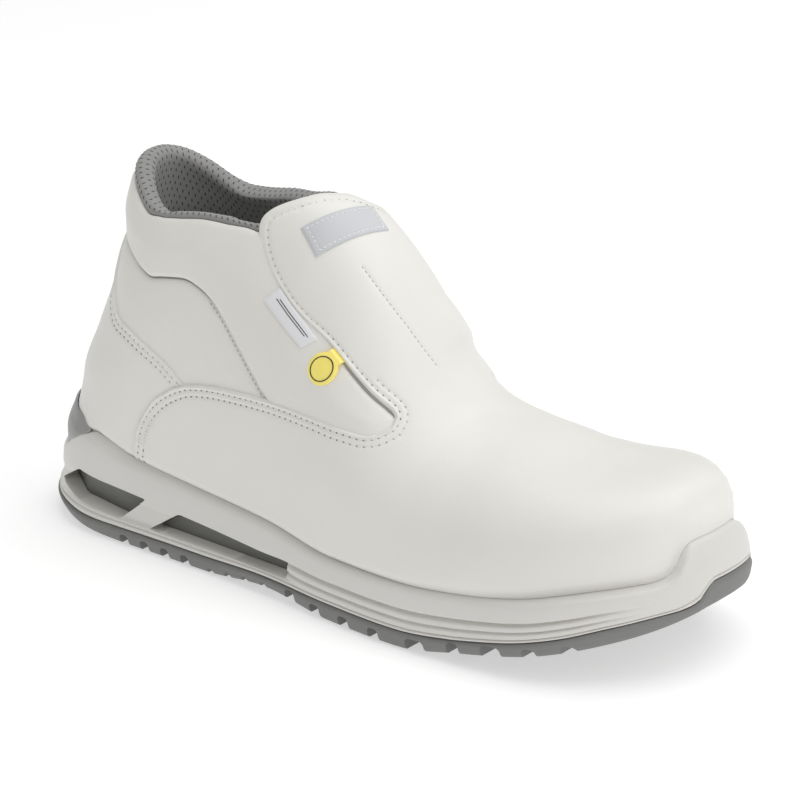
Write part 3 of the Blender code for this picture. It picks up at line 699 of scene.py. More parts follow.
# %% Build a panel
def patch(name, runs, lift, look, pitch, base=0.15, lines=()):
    """A closed panel: an outline of runs, left side inwards, filled and lifted off the last."""
    runs = [spaced(run, 1.0) for run in runs]
    outline = np.concatenate([run[:-1] for run in runs])
    edge = distance_to(*runs)
    guides = []
    for run in runs:
        for ring in RINGS:
            row = moved(run, ring)
            guides.append(row[edge(last_point(*row.T)) > 0.8 * ring])
    for line in lines:
        for offset in LINE_ROWS:
            row = moved(spaced(line, 1.0), offset)
            guides.append(row[edge(last_point(*row.T)) > 0.5])
    low, high = outline.min(0), outline.max(0)
    turns = np.arange(low[0], high[0], pitch / TURN_SCALE)
    rises = np.arange(low[1], high[1], pitch / RISE_SCALE)
    lattice = np.stack(np.meshgrid(turns, rises), -1)
    lattice[1::2, :, 0] += pitch / TURN_SCALE / 2
    lattice = lattice.reshape(-1, 2)
    lattice = lattice[inside(lattice, outline)]
    clear = edge(last_point(*lattice.T)) > RINGS[-1] + 0.5 * pitch
    if lines:
        clear &= distance_to(*lines)(last_point(*lattice.T)) > LINE_CLEAR
    inner = np.concatenate(guides)
    inner = thinned(inner[inside(inner, outline)], GUIDE_GAP)
    places = np.concatenate([outline, inner, lattice[clear]])
    flat = [Vector((t * TURN_SCALE, r * RISE_SCALE)) for t, r in places]
    loop = list(range(len(outline)))
    border = list(zip(loop, loop[1:] + loop[:1]))
    flat, _, faces, *_ = delaunay_2d_cdt(flat, border, [loop], 1, 1e-5)
    places = np.array([(p.x / TURN_SCALE, p.y / RISE_SCALE) for p in flat])
    points = last_point(*places.T)
    normal = outward(points)
    outer = points + normal * lift(points)[:, None]
    under = points + normal * base
    count = len(points)
    sides = dict.fromkeys(side for face in faces for side in zip(face, face[1:] + face[:1]))
    walls = [(b, a, count + a, count + b) for a, b in sides if (b, a) not in sides]
    back_faces = [tuple(count + k for k in reversed(face)) for face in faces]
    return mesh_object(name, np.concatenate([outer, under]), [*map(tuple, faces), *back_faces, *walls], look)


# %% Shape heights and rows
ROW_STEP = 0.8                  # spacing of the points that draw a row of stitches
UNDERLAP = 3.0                  # how far a panel goes under its neighbour
PANEL_PITCH = 1.9               # size of the triangles inside a panel
LIP_PLACE, LIP_WIDE = 0.9, 0.7  # where a turned edge bulges, and over which width


def dip(distance, depth, width):
    """A rounded trough; with a negative depth it is a bead."""
    return -depth * np.exp(-((distance / width) ** 2))


def swell(distance, width, power):
    """0 at an edge and 1 well inside it, as a filled cushion rises."""
    return 1 - np.exp(-((distance / width) ** power))


def row_beside(run, distance):
    """A row of stitches beside an edge."""
    return spaced(moved(spaced(run, ROW_STEP), distance), ROW_STEP)


def tucked(run):
    """The edge of a panel that goes under the edge given."""
    return moved(spaced(run, 1.0), -UNDERLAP)


def level_lift(height):
    """A lift that is the same all over a panel."""
    return lambda points: np.full(len(points), height)


# %% [markdown]
# ## Vamp
# The biggest panel wraps toe, instep flap and both wings in one piece of microfibre. It lies on top of all its
# neighbours, so its edge is turned and stands proud, and two rows of stitches run beside it. The rows are
# also drawn as shallow troughs, because thread pulls the material down. The toe cap's corner and the fold below
# the flap could be sculpted; here two short tables of heights add them to the formula's even surface.

# %% Draw the vamp's edges and rows
MEDIAL_TOP = 0.925      # the flap ends lower on its medial side
ROW_INSET = 2.1         # the first row's distance from the edge
ROW_WIDENS = 2.0        # how much further from the edge it runs at the flap's top
SECOND_INSET = 4.7      # the second row's distance from the edge
SECOND_TOP = 88         # the second row ends this high beside the flap
DART_LINE = np.array([
    (0.910, 0.827), (0.919, 0.779), (0.930, 0.733), (0.940, 0.688), (0.951, 0.644), (0.963, 0.598), (0.973, 0.553),
])
vamp_edge = np.concatenate([wing_back, wing_top[1:], flap_edge[1:]])
vamp_foot = level_run(wing_back[0, 0], 2 - wing_back[0, 0], 0.0, 200)
far_edge = toe_side(vamp_edge[vamp_edge[:, 1] < MEDIAL_TOP])
vamp_top = smooth_run([far_edge[-1], *FLAP_TOP, flap_edge[-1]])
edge_even = spaced(vamp_edge, ROW_STEP)
edge_z = last_point(*edge_even.T)[:, 2]
first_row = spaced(moved(edge_even, -ROW_INSET - ROW_WIDENS * soft_step(edge_z, 112, 136)), ROW_STEP)
second_row = spaced(moved(edge_even[edge_z < SECOND_TOP], -SECOND_INSET), ROW_STEP)
far_row = toe_side(first_row[first_row[:, 1] < MEDIAL_TOP - 0.015])
flap_row = row_beside(vamp_top, ROW_INSET + ROW_WIDENS)
dart_row = spaced(DART_LINE, ROW_STEP)
vamp_rows = [first_row, second_row, far_row, toe_side(second_row), flap_row, dart_row]
to_vamp_edge = distance_to(vamp_edge, far_edge, vamp_top)
to_vamp_foot = distance_to(vamp_foot)
to_vamp_rows = distance_to(*vamp_rows)
print(len(vamp_rows), "rows of stitches on the vamp")

# %% Build the vamp
CAP_FORM = table(
    "rise lift",
    (0, 0), (0.02, -1.2), (0.04, -1.9), (0.052, -1.7), (0.06, -0.7), (0.07, 0.4), (0.08, 1.4), (0.095, 1.8),
    (0.11, 1.5), (0.13, 0.9), (0.15, 0), (0.19, -1.3), (0.23, -1.5), (0.265, -0.5), (0.3, 0.4), (0.335, 0.7),
    (0.37, 0.5), (0.4, 0),
)
FOLD_FORM = table(
    "rise lift",
    (0.3, 0), (0.34, 0.4), (0.38, 0.4), (0.43, -0.7), (0.52, -1.6), (0.555, -1.0), (0.59, 0.7), (0.64, 0.5),
    (0.7, -0.6), (0.9, -0.6), (1.03, -1.2),
)
VAMP_THICK, VAMP_LEAST = 2.5, 0.4


def vamp_form(points):
    """Fullness of toe cap and instep: strongest on the ridge, gone on the sides."""
    turn, rise = on_last(points)
    cap_side = soft_step(turn, 0.84, 1.0) * (1 - soft_step(turn, 1.15, 1.3))
    fold_side = soft_step(turn, 0.98, 1.08) * (1 - soft_step(turn, 1.2, 1.35))
    return read(CAP_FORM, "lift", rise, "rise") * cap_side + read(FOLD_FORM, "lift", rise, "rise") * fold_side


def vamp_lift(points):
    """Height above the last; the edge is softer where the flap stands free at its top."""
    along, _, z = points.T
    edge = to_vamp_edge(points)
    free = soft_step(z, 116, 128)
    height = VAMP_THICK + dip(edge, 1.2 - 0.8 * free, 0.4 + 0.5 * free)
    height += dip(edge - LIP_PLACE, 0.45 * (free - 1), LIP_WIDE)
    height += 0.4 * soft_step(z, 95, 120) * swell(edge, 2.5, 2) + vamp_form(points)
    height += dip(to_vamp_foot(points), 1.7, 1.2 + 1.6 * soft_step(along, 175, 235))
    return np.maximum(height + dip(to_vamp_rows(points), 0.3, 0.6), VAMP_LEAST)


vamp_runs = [vamp_foot, far_edge, vamp_top, vamp_edge[::-1]]
vamp = patch("vamp_skin", vamp_runs, vamp_lift, MICROFIBRE, PANEL_PITCH, lines=vamp_rows)
hand_over(vamp, "white_microfibre", "vamp")

# %% [markdown]
# ## Counter
# A second overlay cups the heel. Its front edge is turned and double stitched, and its lower front goes under
# the vamp's wing, where it is skived thin. At the back it is hollowed a little above the clip.

# %% Build the counter
COUNTER_THICK, COUNTER_LEAST = 2.1, 0.25
COUNTER_TIP = ((38.5, 117.5),)
under_wing = tucked(wing_back)
counter_front = np.concatenate([under_wing, counter_edge[::-1]])
counter_foot = level_run(-under_wing[0, 0], under_wing[0, 0], 0.0, 120)
counter_top = np.array([counter_edge[0], (0.0, side_place(COUNTER_TIP)[0, 1])])
counter_rows = [row_beside(counter_edge, -inset) for inset in (1.9, 4.4)]
counter_rows += [heel_side(row) for row in counter_rows]
to_counter_edge = distance_to(counter_edge, heel_side(counter_edge), counter_top, heel_side(counter_top))
to_under_wing = distance_to(under_wing, heel_side(under_wing))
to_counter_foot = distance_to(counter_foot)
to_counter_rows = distance_to(*counter_rows)


def counter_lift(points):
    """A turned edge, a skived front, a hollow at the back, and troughs at the foot and the stitches."""
    along, _, z = points.T
    edge = to_counter_edge(points)
    height = COUNTER_THICK + dip(edge, 1.0, 0.4) + dip(edge - LIP_PLACE, -0.5, LIP_WIDE)
    height += dip(to_under_wing(points), 1.6, 3.2) + dip(to_counter_foot(points), 1.5, 1.2)
    height += dip(z - 51, 1.5, 11) * (1 - soft_step(along, 32, 48))
    return np.maximum(height + dip(to_counter_rows(points), 0.25, 0.6), COUNTER_LEAST)


counter_runs = [counter_foot, counter_front, counter_top, *round_heel([counter_front, counter_top])]
counter = patch("counter_skin", counter_runs, counter_lift, MICROFIBRE, PANEL_PITCH, lines=counter_rows)
hand_over(counter, "white_microfibre", "counter")

# %% [markdown]
# ## Quarters and collar panel
# The soft side panels are backed with foam, so they swell between their seams. Cloth simulation could blow them
# up; on a lasted boot the forms are known, so each height rises quickly from the seam and then levels off, as a
# filled cushion does. The collar panel stops short beside the flap's lower edge, which leaves a slit there.

# %% Draw the quarters and the collar panel
SEAM_RISE = table(
    "turn rise",
    (-1, 0.9), (-0.8, 0.9), (-0.75, 0.915), (-0.7, 0.955), (-0.6, 0.995), (-0.53, 0.998), (-0.42, 0.984),
    (-0.35, 0.974), (-0.29, 0.960), (-0.22, 0.970), (-0.15, 0.978), (0, 0.965), (0.15, 0.980), (0.22, 0.976),
    (0.29, 0.970), (0.35, 0.988), (0.42, 0.999), (0.53, 1.013), (0.6, 1.010), (0.63, 0.998), (0.66, 0.970),
    (0.72, 0.945), (0.85, 0.93), (1, 0.9),
)
wing_side = last_point(*wing_top.T)[:, 0]
seam_end = QUARTER_SEAM[-1][0]
seam_side = last_point(*quarter_seam.T)[:, 0]
quarter_runs = linked(
    tucked(wing_top[wing_side < seam_end]), quarter_seam[seam_side > 41][::-1], tucked(counter_edge)
)
seam_row = row_beside(quarter_seam[seam_side > 97], -1.5)

flap_even = spaced(flap_edge, 1.0)
flap_height = last_point(*flap_even.T)[:, 2]
below_corner = flap_even[:, 1] < 0.95
slit_height = flap_height[below_corner]
slit_open = 4.2 * (1 - soft_step(slit_height, 94, 106)) - 2.2 * (1 - soft_step(slit_height, 76, 81))
under_flap = moved(flap_even[below_corner], slit_open - UNDERLAP)
collar_foot = tucked(wing_top[(wing_side > seam_end) & (wing_side < 178)])
top_turns = np.linspace(under_flap[-1, 0], -under_flap[-1, 0], 160)
collar_top = np.stack([top_turns, read(SEAM_RISE, "rise", top_turns, "turn")], -1)
collar_ring = linked(quarter_seam, collar_foot, under_flap, collar_top)
# One half of the outline: all that comes before the top
collar_half = collar_ring[:next(k for k, run in enumerate(collar_ring) if run is collar_top)]
collar_runs = round_heel(collar_half) + collar_half + [collar_top]
to_collar_rim = distance_to(*collar_runs)
to_quarter_rim = distance_to(*quarter_runs)
to_seam_row = distance_to(seam_row)
print(len(collar_runs), "runs round the collar panel,", len(quarter_runs), "round a quarter")


# %% Build the quarters and the collar panel
def collar_lift(points):
    """Rounded off at the seams, then slowly fuller to the middle."""
    inwards = to_collar_rim(points)
    return 1.2 + 0.9 * swell(inwards, 0.7, 1.3) + 1.8 * swell(inwards, 9.0, 1.6)


def quarter_lift(points):
    """Flat at the rim, where its neighbours lie on it, and full in the middle."""
    inwards = to_quarter_rim(points)
    return 0.2 + 1.1 * swell(inwards, 1.3, 1.6) + 1.2 * swell(inwards, 8.0, 1.6) + dip(to_seam_row(points), 0.3, 0.7)


def quarter_lift_medial(points):
    """The lateral heights, read at the opposite points of the lateral side."""
    along, _, z = points.T
    return quarter_lift(np.stack([along, read(AXIS, "y", along) - last_half(along, z, "lateral"), z], -1))


collar = patch("collar_pad", collar_runs, collar_lift, SOFT_FIBRE, PANEL_PITCH)
hand_over(collar, "white_soft_microfibre", "collar_panel", padding=0.6)
quarter = patch("quarter_lateral_skin", quarter_runs, quarter_lift, SOFT_FIBRE, PANEL_PITCH, lines=[seam_row])
hand_over(quarter, "white_soft_microfibre", "quarter_lateral", padding=0.6)
medial_quarter = patch(
    "quarter_medial_skin", round_heel(quarter_runs), quarter_lift_medial, SOFT_FIBRE, PANEL_PITCH,
    lines=[heel_side(seam_row)[::-1]],
)
hand_over(medial_quarter, "white_soft_microfibre", "quarter_medial", padding=0.6)

# %% [markdown]
# ## Painted shadow in the fold under the collar panel
# The padded collar rolls over the quarter's top edge, and the deep fold under it lies in shadow. Light alone draws
# it too faintly at this size, so a narrow grey strip of painted shadow, widest in its middle, lies in the fold.

# %% Paint shadow into the fold
SHADE_STRIP_WIDE, SHADE_STRIP_HIGH = 0.75, 0.8
fold_line = spaced(quarter_seam[(seam_side > 50) & (seam_side < 102)], 1.0)
shade_strip_wide = SHADE_STRIP_WIDE * np.sqrt(np.sin(np.pi * np.linspace(0.02, 0.98, len(fold_line))))
shade_strip_runs = linked(moved(fold_line, -shade_strip_wide), moved(fold_line, -0.05)[::-1])
# Each strip is painted shadow in the fold, on the lateral and the medial side
for side, runs in (("lateral", shade_strip_runs), ("medial", round_heel(shade_strip_runs))):
    shade_strip = patch("crease_" + side, runs, level_lift(SHADE_STRIP_HIGH), FOLD_SHADE, 1.0)
    hand_over(shade_strip, "white_soft_microfibre")

# %% [markdown]
# ## Collar lining
# The collar is a foam roll in grey mesh: it comes over the top edge, thick at the back, and runs down inside.
# Its section is a row of steps that is carried round the collar; tables by turn say how high the seam
# and the roll's top stand at each place, because both dip beside the ankle and go down behind the flap.

# %% Build the lining
LINING_COLUMNS = 150
ROLL_RISE = table(
    "turn rise",
    (-1, 0.945), (-0.9, 0.925), (-0.82, 0.925), (-0.77, 0.94), (-0.72, 0.98), (-0.66, 1.013), (-0.6, 1.021),
    (-0.54, 1.016), (-0.48, 1.004), (-0.42, 0.994), (-0.36, 0.99), (-0.3, 0.998), (-0.24, 1.012), (-0.16, 1.021),
    (-0.08, 1.019), (0, 1.024), (0.08, 1.026), (0.17, 1.027), (0.24, 1.017), (0.3, 1.006), (0.36, 1.008),
    (0.42, 1.022), (0.53, 1.035), (0.6, 1.036), (0.64, 1.022), (0.67, 1.0), (0.72, 0.985), (0.85, 0.975), (1, 0.945),
)
# The roll's section: share of the way from the seam to its top, and depth behind the last's surface
OVER = table(
    "step part depth",
    (0, -0.15, 0.3), (1, 0, -0.4), (2, 0.25, -1.2), (3, 0.5, -1.4), (4, 0.75, -0.9), (5, 0.9, 0.1), (6, 0.98, 1.4),
    (7, 1, 2.9), (8, 0.95, 4.3), (9, 0.8, 5.5), (10, 0.55, 6.2),
)
LINING_PAD = table("share pad", (0.58, 0.6), (0.64, 1.8), (0.70, 3.0), (0.80, 3.6), (1, 4.1))
turns = around(LINING_COLUMNS)
seam_line, top_line = (read(line, "rise", signed(turns), "turn") for line in (SEAM_RISE, ROLL_RISE))


def collar_row(rise, depth):
    points = last_point(turns, rise)
    return points - depth * outward(points)


lining_loops = []
for at in np.linspace(0, OVER["step"][-1], 24):
    part, depth = read(OVER, "part", at, "step"), read(OVER, "depth", at, "step")
    lining_loops.append(collar_row(seam_line + part * (top_line - seam_line), depth))
inside_top = np.minimum(seam_line + 0.4 * (top_line - seam_line), 0.985)
lowest = np.interp(LINING_PAD["share"][0], SHARES, RISE)
for down in np.linspace(0, 1, 16):
    rise = inside_top + down * (lowest - inside_top)
    pad = read(LINING_PAD, "pad", np.interp(rise, RISE, SHARES), "share")
    lining_loops.append(collar_row(rise, (WALL + GAP + pad)[:, None]))
for up in np.linspace(0, 1, 10):
    lining_loops.append(collar_row(lowest + up * (np.minimum(seam_line - 0.005, 0.97) - lowest), WALL + GAP))
lining_loops = np.array(lining_loops)
lining = tube("collar_roll", lining_loops, MESH)
hand_over(lining, "grey_mesh", "collar_lining", sharp=70, padding=0.7)

# %% [markdown]
# ## Cup sole
# The white midsole is moulded in one piece: bands and grooves run along its side, and windows in the heel show
# the grey cushioning core. Loops round the sole are stacked from a side profile, then Booleans cut the windows.

# %% Draw loops round the sole
SOLE_COLUMNS = 130
SIDE = table(
    "up inset pull",
    (0, 1.2, 0), (0.03, 0.5, 0.1), (0.06, 0.5, 0.2), (0.10, 0.6, 0.3), (0.2, 0.7, 1.5), (0.36, 0.8, 2.4),
    (0.45, 0.9, 2.7), (0.52, 0.9, 2.1), (0.6, 1.0, 1.9), (0.75, 1.2, 1.9), (0.86, 1.5, 2.5), (0.93, 2.0, 3.8),
    (0.955, 2.7, 5.2),
)
GROOVES = table("up width depth", (0.08, 0.016, 0.8), (0.25, 0.03, 1.3), (0.46, 0.04, 1.8))
# The line between rubber and foam from the ball to the toe, where it steps up
TOE_WELT = table(
    "turn z",
    (0.66, 9.3), (0.72, 13.6), (0.777, 18.5), (0.831, 23.3), (0.892, 26.5), (0.935, 27.7), (0.952, 29),
    (0.966, 33), (0.98, 35), (1.02, 34.8), (1.075, 33.8), (1.095, 31.5), (1.115, 28), (1.15, 25.5), (1.2, 21.3),
    (1.26, 15), (1.34, 9.3),
)
RIM_CLEAR = 0.45


def sole_half(along, side, inset, pull):
    """Half width of the sole on one side, with its rounded heel and toe."""
    width = read(SOLE, side, along) - inset
    toe = np.clip((along - LENGTH + TOE_ROUND) / (TOE_ROUND - inset), 0, 1)
    heel = np.clip((HEEL_ROUND + pull - along) / (HEEL_ROUND - inset), 0, 1)
    return width * (1 - toe**TOE_POWER) ** (1 / TOE_POWER) * (1 - heel**HEEL_POWER) ** (1 / HEEL_POWER)


sole_turn = around(SOLE_COLUMNS)
sole_travel = 1 - np.abs(1 - sole_turn)
sole_share = (1 - np.cos(np.pi * sole_travel)) / 2
ground_line = read(SOLE, "ground", LENGTH * sole_share)
welt_line = read(SOLE, "welt", LENGTH * sole_share)
at_toe = sole_travel > TOE_WELT["turn"][0]
welt_line[at_toe] = read(TOE_WELT, "z", sole_turn[at_toe], "turn")


def sole_loop(inset, pull, z):
    """A line round the sole's side at given heights."""
    along = inset + pull + (LENGTH - 2 * inset - pull) * sole_share
    lateral, medial = (sole_half(along, side, inset, pull) for side in ("lateral", "medial"))
    half = np.where(sole_turn <= 1, -lateral, medial)
    half[[0, SOLE_COLUMNS]] = 0
    return np.stack([along, read(AXIS, "y", along) + half, z], -1)


def grown(loop, amount):
    """A loop moved outwards in plan."""
    ahead = np.roll(loop, -1, 0) - np.roll(loop, 1, 0)
    normal = np.stack([ahead[:, 1], -ahead[:, 0], np.zeros(len(loop))], -1)
    return loop + np.reshape(amount, (-1, 1)) * normal / np.linalg.norm(normal, axis=1, keepdims=True)


def cup_rim(along):
    """The cup's inner rim, a little higher beside the toe so that no gap shows."""
    return rim(along) + 0.2 * soft_step(along, 175, 235)


# %% Build the midsole
inner_rim = grown(level_loop(cup_rim, SOLE_COLUMNS), RIM_CLEAR)
inner_floor = grown(level_loop(cup_floor, SOLE_COLUMNS), RIM_CLEAR)
ups = np.unique(np.concatenate([np.linspace(0, 0.955, 40)] + [
    c + w * np.array([-1.6, -1, -0.5, 0, 0.5, 1, 1.6]) for c, w in zip(GROOVES["up"], GROOVES["width"])
]))
sole_rows = []
for up in ups:
    row = sole_loop(
        read(SIDE, "inset", up, "up"), read(SIDE, "pull", up, "up"),
        welt_line + GAP + (inner_rim[:, 2] - welt_line - GAP) * up,
    )
    # The lowest groove goes all round, the others from the waist to the toe
    fade = (1 - soft_step(row[:, 0], 268, 293)) * soft_step(row[:, 0], 128, 146)
    for k, (centre, width, depth) in enumerate(zip(GROOVES["up"], GROOVES["width"], GROOVES["depth"])):
        row = grown(row, -depth * (1.0 if k == 0 else fade) * np.exp(-(((up - centre) / width) ** 2)))
    # The heel's side is set back below its upper band
    under_band = soft_step(up, 0.11, 0.16) * (1 - soft_step(up, 0.42, 0.47))
    row = grown(row, -1.5 * under_band * soft_step(row[:, 0], 18, 34) * (1 - soft_step(row[:, 0], 140, 147)))
    # The bumper leans back at the tip of the toe
    row = grown(row, -2.2 * soft_step(up, 0.4, 0.95) * soft_step(sole_travel, 0.92, 0.96))
    sole_rows.append(row)
midsole = stacked("cup_sole", [*sole_rows, inner_rim, inner_floor], FOAM)
print("cup sole from", len(sole_rows), "loops")

# %% [markdown]
# ## Windows in the heel
# Two windows on each side leave a slanting strut between them. Their outlines are drawn as seen from the side,
# with rounded corners, and run right across the sole as cutters. A grey core fills each opening, set back from
# the sole's side by a few millimetres.

# %% Cut the windows
WINDOWS = {
    "rear": ((15.5, 14.5), (32.5, 25), (69, 22), (55, 10.5), (30, 12)),
    "front": ((70, 10), (86, 20.5), (142.2, 16.5), (142.2, 10.2)),
}
THROUGH = 90.0          # cutters reach this far to both sides
WINDOW_ROUND = 1.6


def rounded(corners, radius, steps=5):
    """An outline with its corners rounded."""
    corners = np.array(corners, float)
    made = []
    for before, corner, after in zip(np.roll(corners, 1, 0), corners, np.roll(corners, -1, 0)):
        start = corner + (before - corner) / np.linalg.norm(before - corner) * radius
        stop = corner + (after - corner) / np.linalg.norm(after - corner) * radius
        for t in np.linspace(0, 1, steps):
            made.append((1 - t) ** 2 * start + 2 * t * (1 - t) * corner + t * t * stop)
    return np.array(made)


def bars(outlines):
    """Points and faces of bars that run right across the boot, with outlines as seen from the side."""
    points, faces = [], []
    for outline in outlines:
        first, count = len(points), len(outline)
        points += [(along, y, z) for y in (-THROUGH, THROUGH) for along, z in outline]
        faces += [tuple(range(first, first + count)), tuple(range(first + count, first + 2 * count))]
        for k in range(count):
            after = (k + 1) % count
            faces.append((first + k, first + after, first + count + after, first + count + k))
    return points, faces


for name, outline in WINDOWS.items():
    cut(midsole, mesh_object("window_" + name, *bars([rounded(outline, WINDOW_ROUND)]), FOAM))
hand_over(midsole, "white_foam", "midsole", sharp=38)

# %% Build the cores in the windows
CORE_INSET, CORE_BEVEL, CORE_CLEAR = 8.0, 0.6, 0.5
for name, outline in WINDOWS.items():
    centre = np.mean(outline, axis=0)
    corners = rounded(outline, WINDOW_ROUND)
    corners += CORE_CLEAR * (centre - corners) / np.linalg.norm(centre - corners, axis=1, keepdims=True)
    rows = []
    # Four outlines across the heel; the outer ones are bevelled
    for sign, side, bevel, shrink in (
        (-1, "lateral", CORE_BEVEL, 0.025), (-1, "lateral", 0, 0), (1, "medial", 0, 0), (1, "medial", CORE_BEVEL, 0),
    ):
        along, z = (corners + shrink * (centre - corners)).T
        rows.append(np.stack([along, sign * sole_half(along, side, CORE_INSET + bevel, 0), z], -1))
    count = len(corners)
    faces = bands(4, count) + [tuple(range(count)), tuple(range(3 * count, 4 * count))]
    core = mesh_object("core_" + name, np.array(rows), faces, CORE)
    hand_over(core, "dark_grey_foam", "heel_insert_" + name)

# %% [markdown]
# ## Outsole
# The tread is grey rubber: a thin edge all round, a raised bumper at the toe, and lugs parted by grooves. Its side
# is stacked from loops like the cup sole's, and two Booleans cut the cross grooves and a channel along the middle.

# %% Build the outsole
OUTSOLE_SIDE = table(
    "up inset pull",
    (0, 2.6, 1.8), (0.1, 1.5, 1.0), (0.3, 0.7, 0.4), (0.6, 0.2, 0.1), (0.8, 0, 0), (0.93, 0.3, 0), (1, 1.0, 0),
)
TREAD = table(
    "along width depth",
    (57.5, 4.2, 4.6), (68, 4.2, 4.6), (78.5, 4.2, 4.6), (89, 4.2, 4.6), (102, 3, 2.2), (111, 3, 2.2),
    (120, 3, 2.2), (130, 3, 2.2), (144.7, 5, 4.8), (158, 5, 5), (173, 5, 5), (188, 5, 5),
    (207.2, 8, 5), (224, 5, 5), (240, 8, 4.8), (255, 5, 4), (268.5, 5, 3.4),
)
CHANNEL = {"start": 45.0, "stop": 272.0, "width": 7.0, "depth": 2.8, "stations": 40}
FLARE = 1.0


def ground(along):
    """Height of the tread's underside, which curves up to heel and toe."""
    return read(SOLE, "ground", along)


tread_rows = []
for up in np.linspace(0, 1, 14):
    tread_rows.append(sole_loop(
        read(OUTSOLE_SIDE, "inset", up, "up"), read(OUTSOLE_SIDE, "pull", up, "up"),
        ground_line + (welt_line - ground_line) * up,
    ))
outsole = stacked("tread", tread_rows, RUBBER)
grooves = []
for along, width, depth in zip(*TREAD.values()):
    top_z, low_z = ground(along) + depth, ground(along) - depth
    bevel = min(1.0, width / 4)
    grooves.append((
        (along - width / 2 + bevel, top_z), (along + width / 2 - bevel, top_z), (along + width / 2, top_z - bevel),
        (along + width / 2 + FLARE, low_z), (along - width / 2 - FLARE, low_z), (along - width / 2, top_z - bevel),
    ))
cut(outsole, mesh_object("grooves", *bars(grooves), RUBBER))
stations = np.linspace(CHANNEL["start"], CHANNEL["stop"], CHANNEL["stations"])
half, deep = CHANNEL["width"] / 2, CHANNEL["depth"]
corners = ((-half, deep), (half, deep), (half + FLARE, -deep), (-half - FLARE, -deep))
channel = [
    (a, read(AXIS, "y", a) + side, ground(a) + up) for a in stations for side, up in corners
]
channel_faces = bands(len(stations), 4) + [(0, 1, 2, 3), tuple(range(len(channel) - 4, len(channel)))]
cut(outsole, mesh_object("channel", channel, channel_faces, RUBBER))
hand_over(outsole, "grey_rubber", "outsole", sharp=35)

# %% [markdown]
# ## Heel clip and insole
# The clip is a grey moulding that bulges over the back of the heel. It could be part of an ellipsoid; as a panel on
# the last, thin at its top and full low down, it follows the counter closely. The insole is a loose felt-covered
# footbed with a rounded edge.

# %% Build the heel clip
CLIP_EDGE = ((37.5, 41.9), (34.5, 42.8), (32.5, 44), (30, 45), (25, 45.4), (20.5, 46.4), (17.8, 47.5))
clip_edge = side_place(smooth_run(CLIP_EDGE))
clip_foot = level_run(-clip_edge[0, 0], clip_edge[0, 0], 0.001, 80)
clip_toe = np.array([clip_foot[-1], clip_edge[0]])
clip_top = np.array([clip_edge[-1], (0.0, clip_edge[-1, 1]), heel_side(clip_edge)[-1]])
clip_runs = [clip_foot, clip_toe, clip_edge, clip_top, *round_heel([clip_toe, clip_edge])]
to_clip_edge = distance_to(*clip_runs[1:])
to_clip_foot = distance_to(clip_foot)


def clip_lift(points):
    """A moulding that is thin at its top and full low down, with a rounded foot."""
    edge = to_clip_edge(points)
    full = (1 - soft_step(points[:, 2], 36, 47)) * soft_step(edge, 0, 5)
    foot = np.clip(to_clip_foot(points) / 3.5, 0, 1)
    return 1.7 + 0.8 * swell(edge, 0.8, 1.5) + 2.8 * full * (0.5 + 0.5 * np.sqrt(1 - (1 - foot) ** 2))


clip = patch("clip", clip_runs, clip_lift, PLASTIC, 1.2, base=1.2)
hand_over(clip, "grey_plastic", "heel_clip", sharp=30)

# %% Build the insole
bed_rows = []
for height, shrink in ((0, 0), (0.5, 0), (0.8, 0.05), (0.95, 0.5), (1, 1.4)):
    outline = level_loop(lambda along: cup_floor(along) + GAP + INSOLE * height, SOLE_COLUMNS)
    bed_rows.append(grown(outline, -WALL - 2 * GAP - shrink))
footbed = stacked("footbed", bed_rows, FOOTBED)
hand_over(footbed, "grey_footbed", "insole")

# %% [markdown]
# ## Small trim
# A woven patch on the flap, a ribbon tab beside it and a round plastic tag are thin sheets that lie on the panel
# under them. Each could be modelled flat and shrink-wrapped; here its grid of points is put on the last at once
# and lifted to the panel's height.

# %% Lay thin sheets on the boot
def grid(a, b):
    """Two lists of values as the coordinates of a grid, the first changing fastest."""
    return (values.ravel() for values in np.meshgrid(a, b))


def laid(name, points, wide, look, low, high, panel=level_lift(0.0)):
    """A thin closed sheet over a grid of points of the last, between two heights above the panel under it."""
    normal, base = outward(points), panel(points)[:, None]
    lower, upper = (points + (base + np.reshape(height, (-1, 1))) * normal for height in (low, high))
    tall = len(points) // wide
    quads = [
        (r * wide + c, r * wide + c + 1, (r + 1) * wide + c + 1, (r + 1) * wide + c)
        for r in range(tall - 1) for c in range(wide - 1)
    ]
    shift = wide * tall
    path = list(range(wide)) + [r * wide + wide - 1 for r in range(1, tall)]
    path += [(tall - 1) * wide + c for c in range(wide - 2, -1, -1)] + [r * wide for r in range(tall - 2, 0, -1)]
    walls = [(a, b, b + shift, a + shift) for a, b in zip(path, path[1:] + path[:1])]
    faces = quads + [tuple(k + shift for k in reversed(quad)) for quad in quads] + walls
    return mesh_object(name, np.concatenate([lower, upper]), faces, look)


def to_rim(a, b, long, wide):
    """Distance to a sheet's rim in mm, where a and b run from 0 to 1 along it and across it."""
    return np.minimum(long * np.minimum(a, 1 - a), wide * np.minimum(b, 1 - b))


def on_side(points):
    """Points of the last under points that are given as seen from the lateral side."""
    return last_point(*side_place(points).T)


def dropped(points, direction):
    """Points moved along a direction onto the last."""
    low, high = np.full(len(points), -30.0), np.full(len(points), 20.0)
    for _ in range(40):
        middle = (low + high) / 2
        within = beyond(*(points + middle[:, None] * direction).T) < 0
        low, high = np.where(within, middle, low), np.where(within, high, middle)
    return points + low[:, None] * direction


# %% Lay the patch
SINK = -0.3             # a sheet starts this far inside its panel
PATCH_CORNERS = np.array([(129.6, -19.7, 137.2), (140.3, 5.0, 140.7), (149.2, 3.6, 133.6), (138.3, -22.4, 128.8)])
PATCH_LONG, PATCH_WIDE, PATCH_COLUMNS = 28.0, 12.0, 90
PATCH_STITCH = 1.5      # its stitches' distance from its edge
PATCH_WAY = np.array([0.62, -0.2, 0.76])


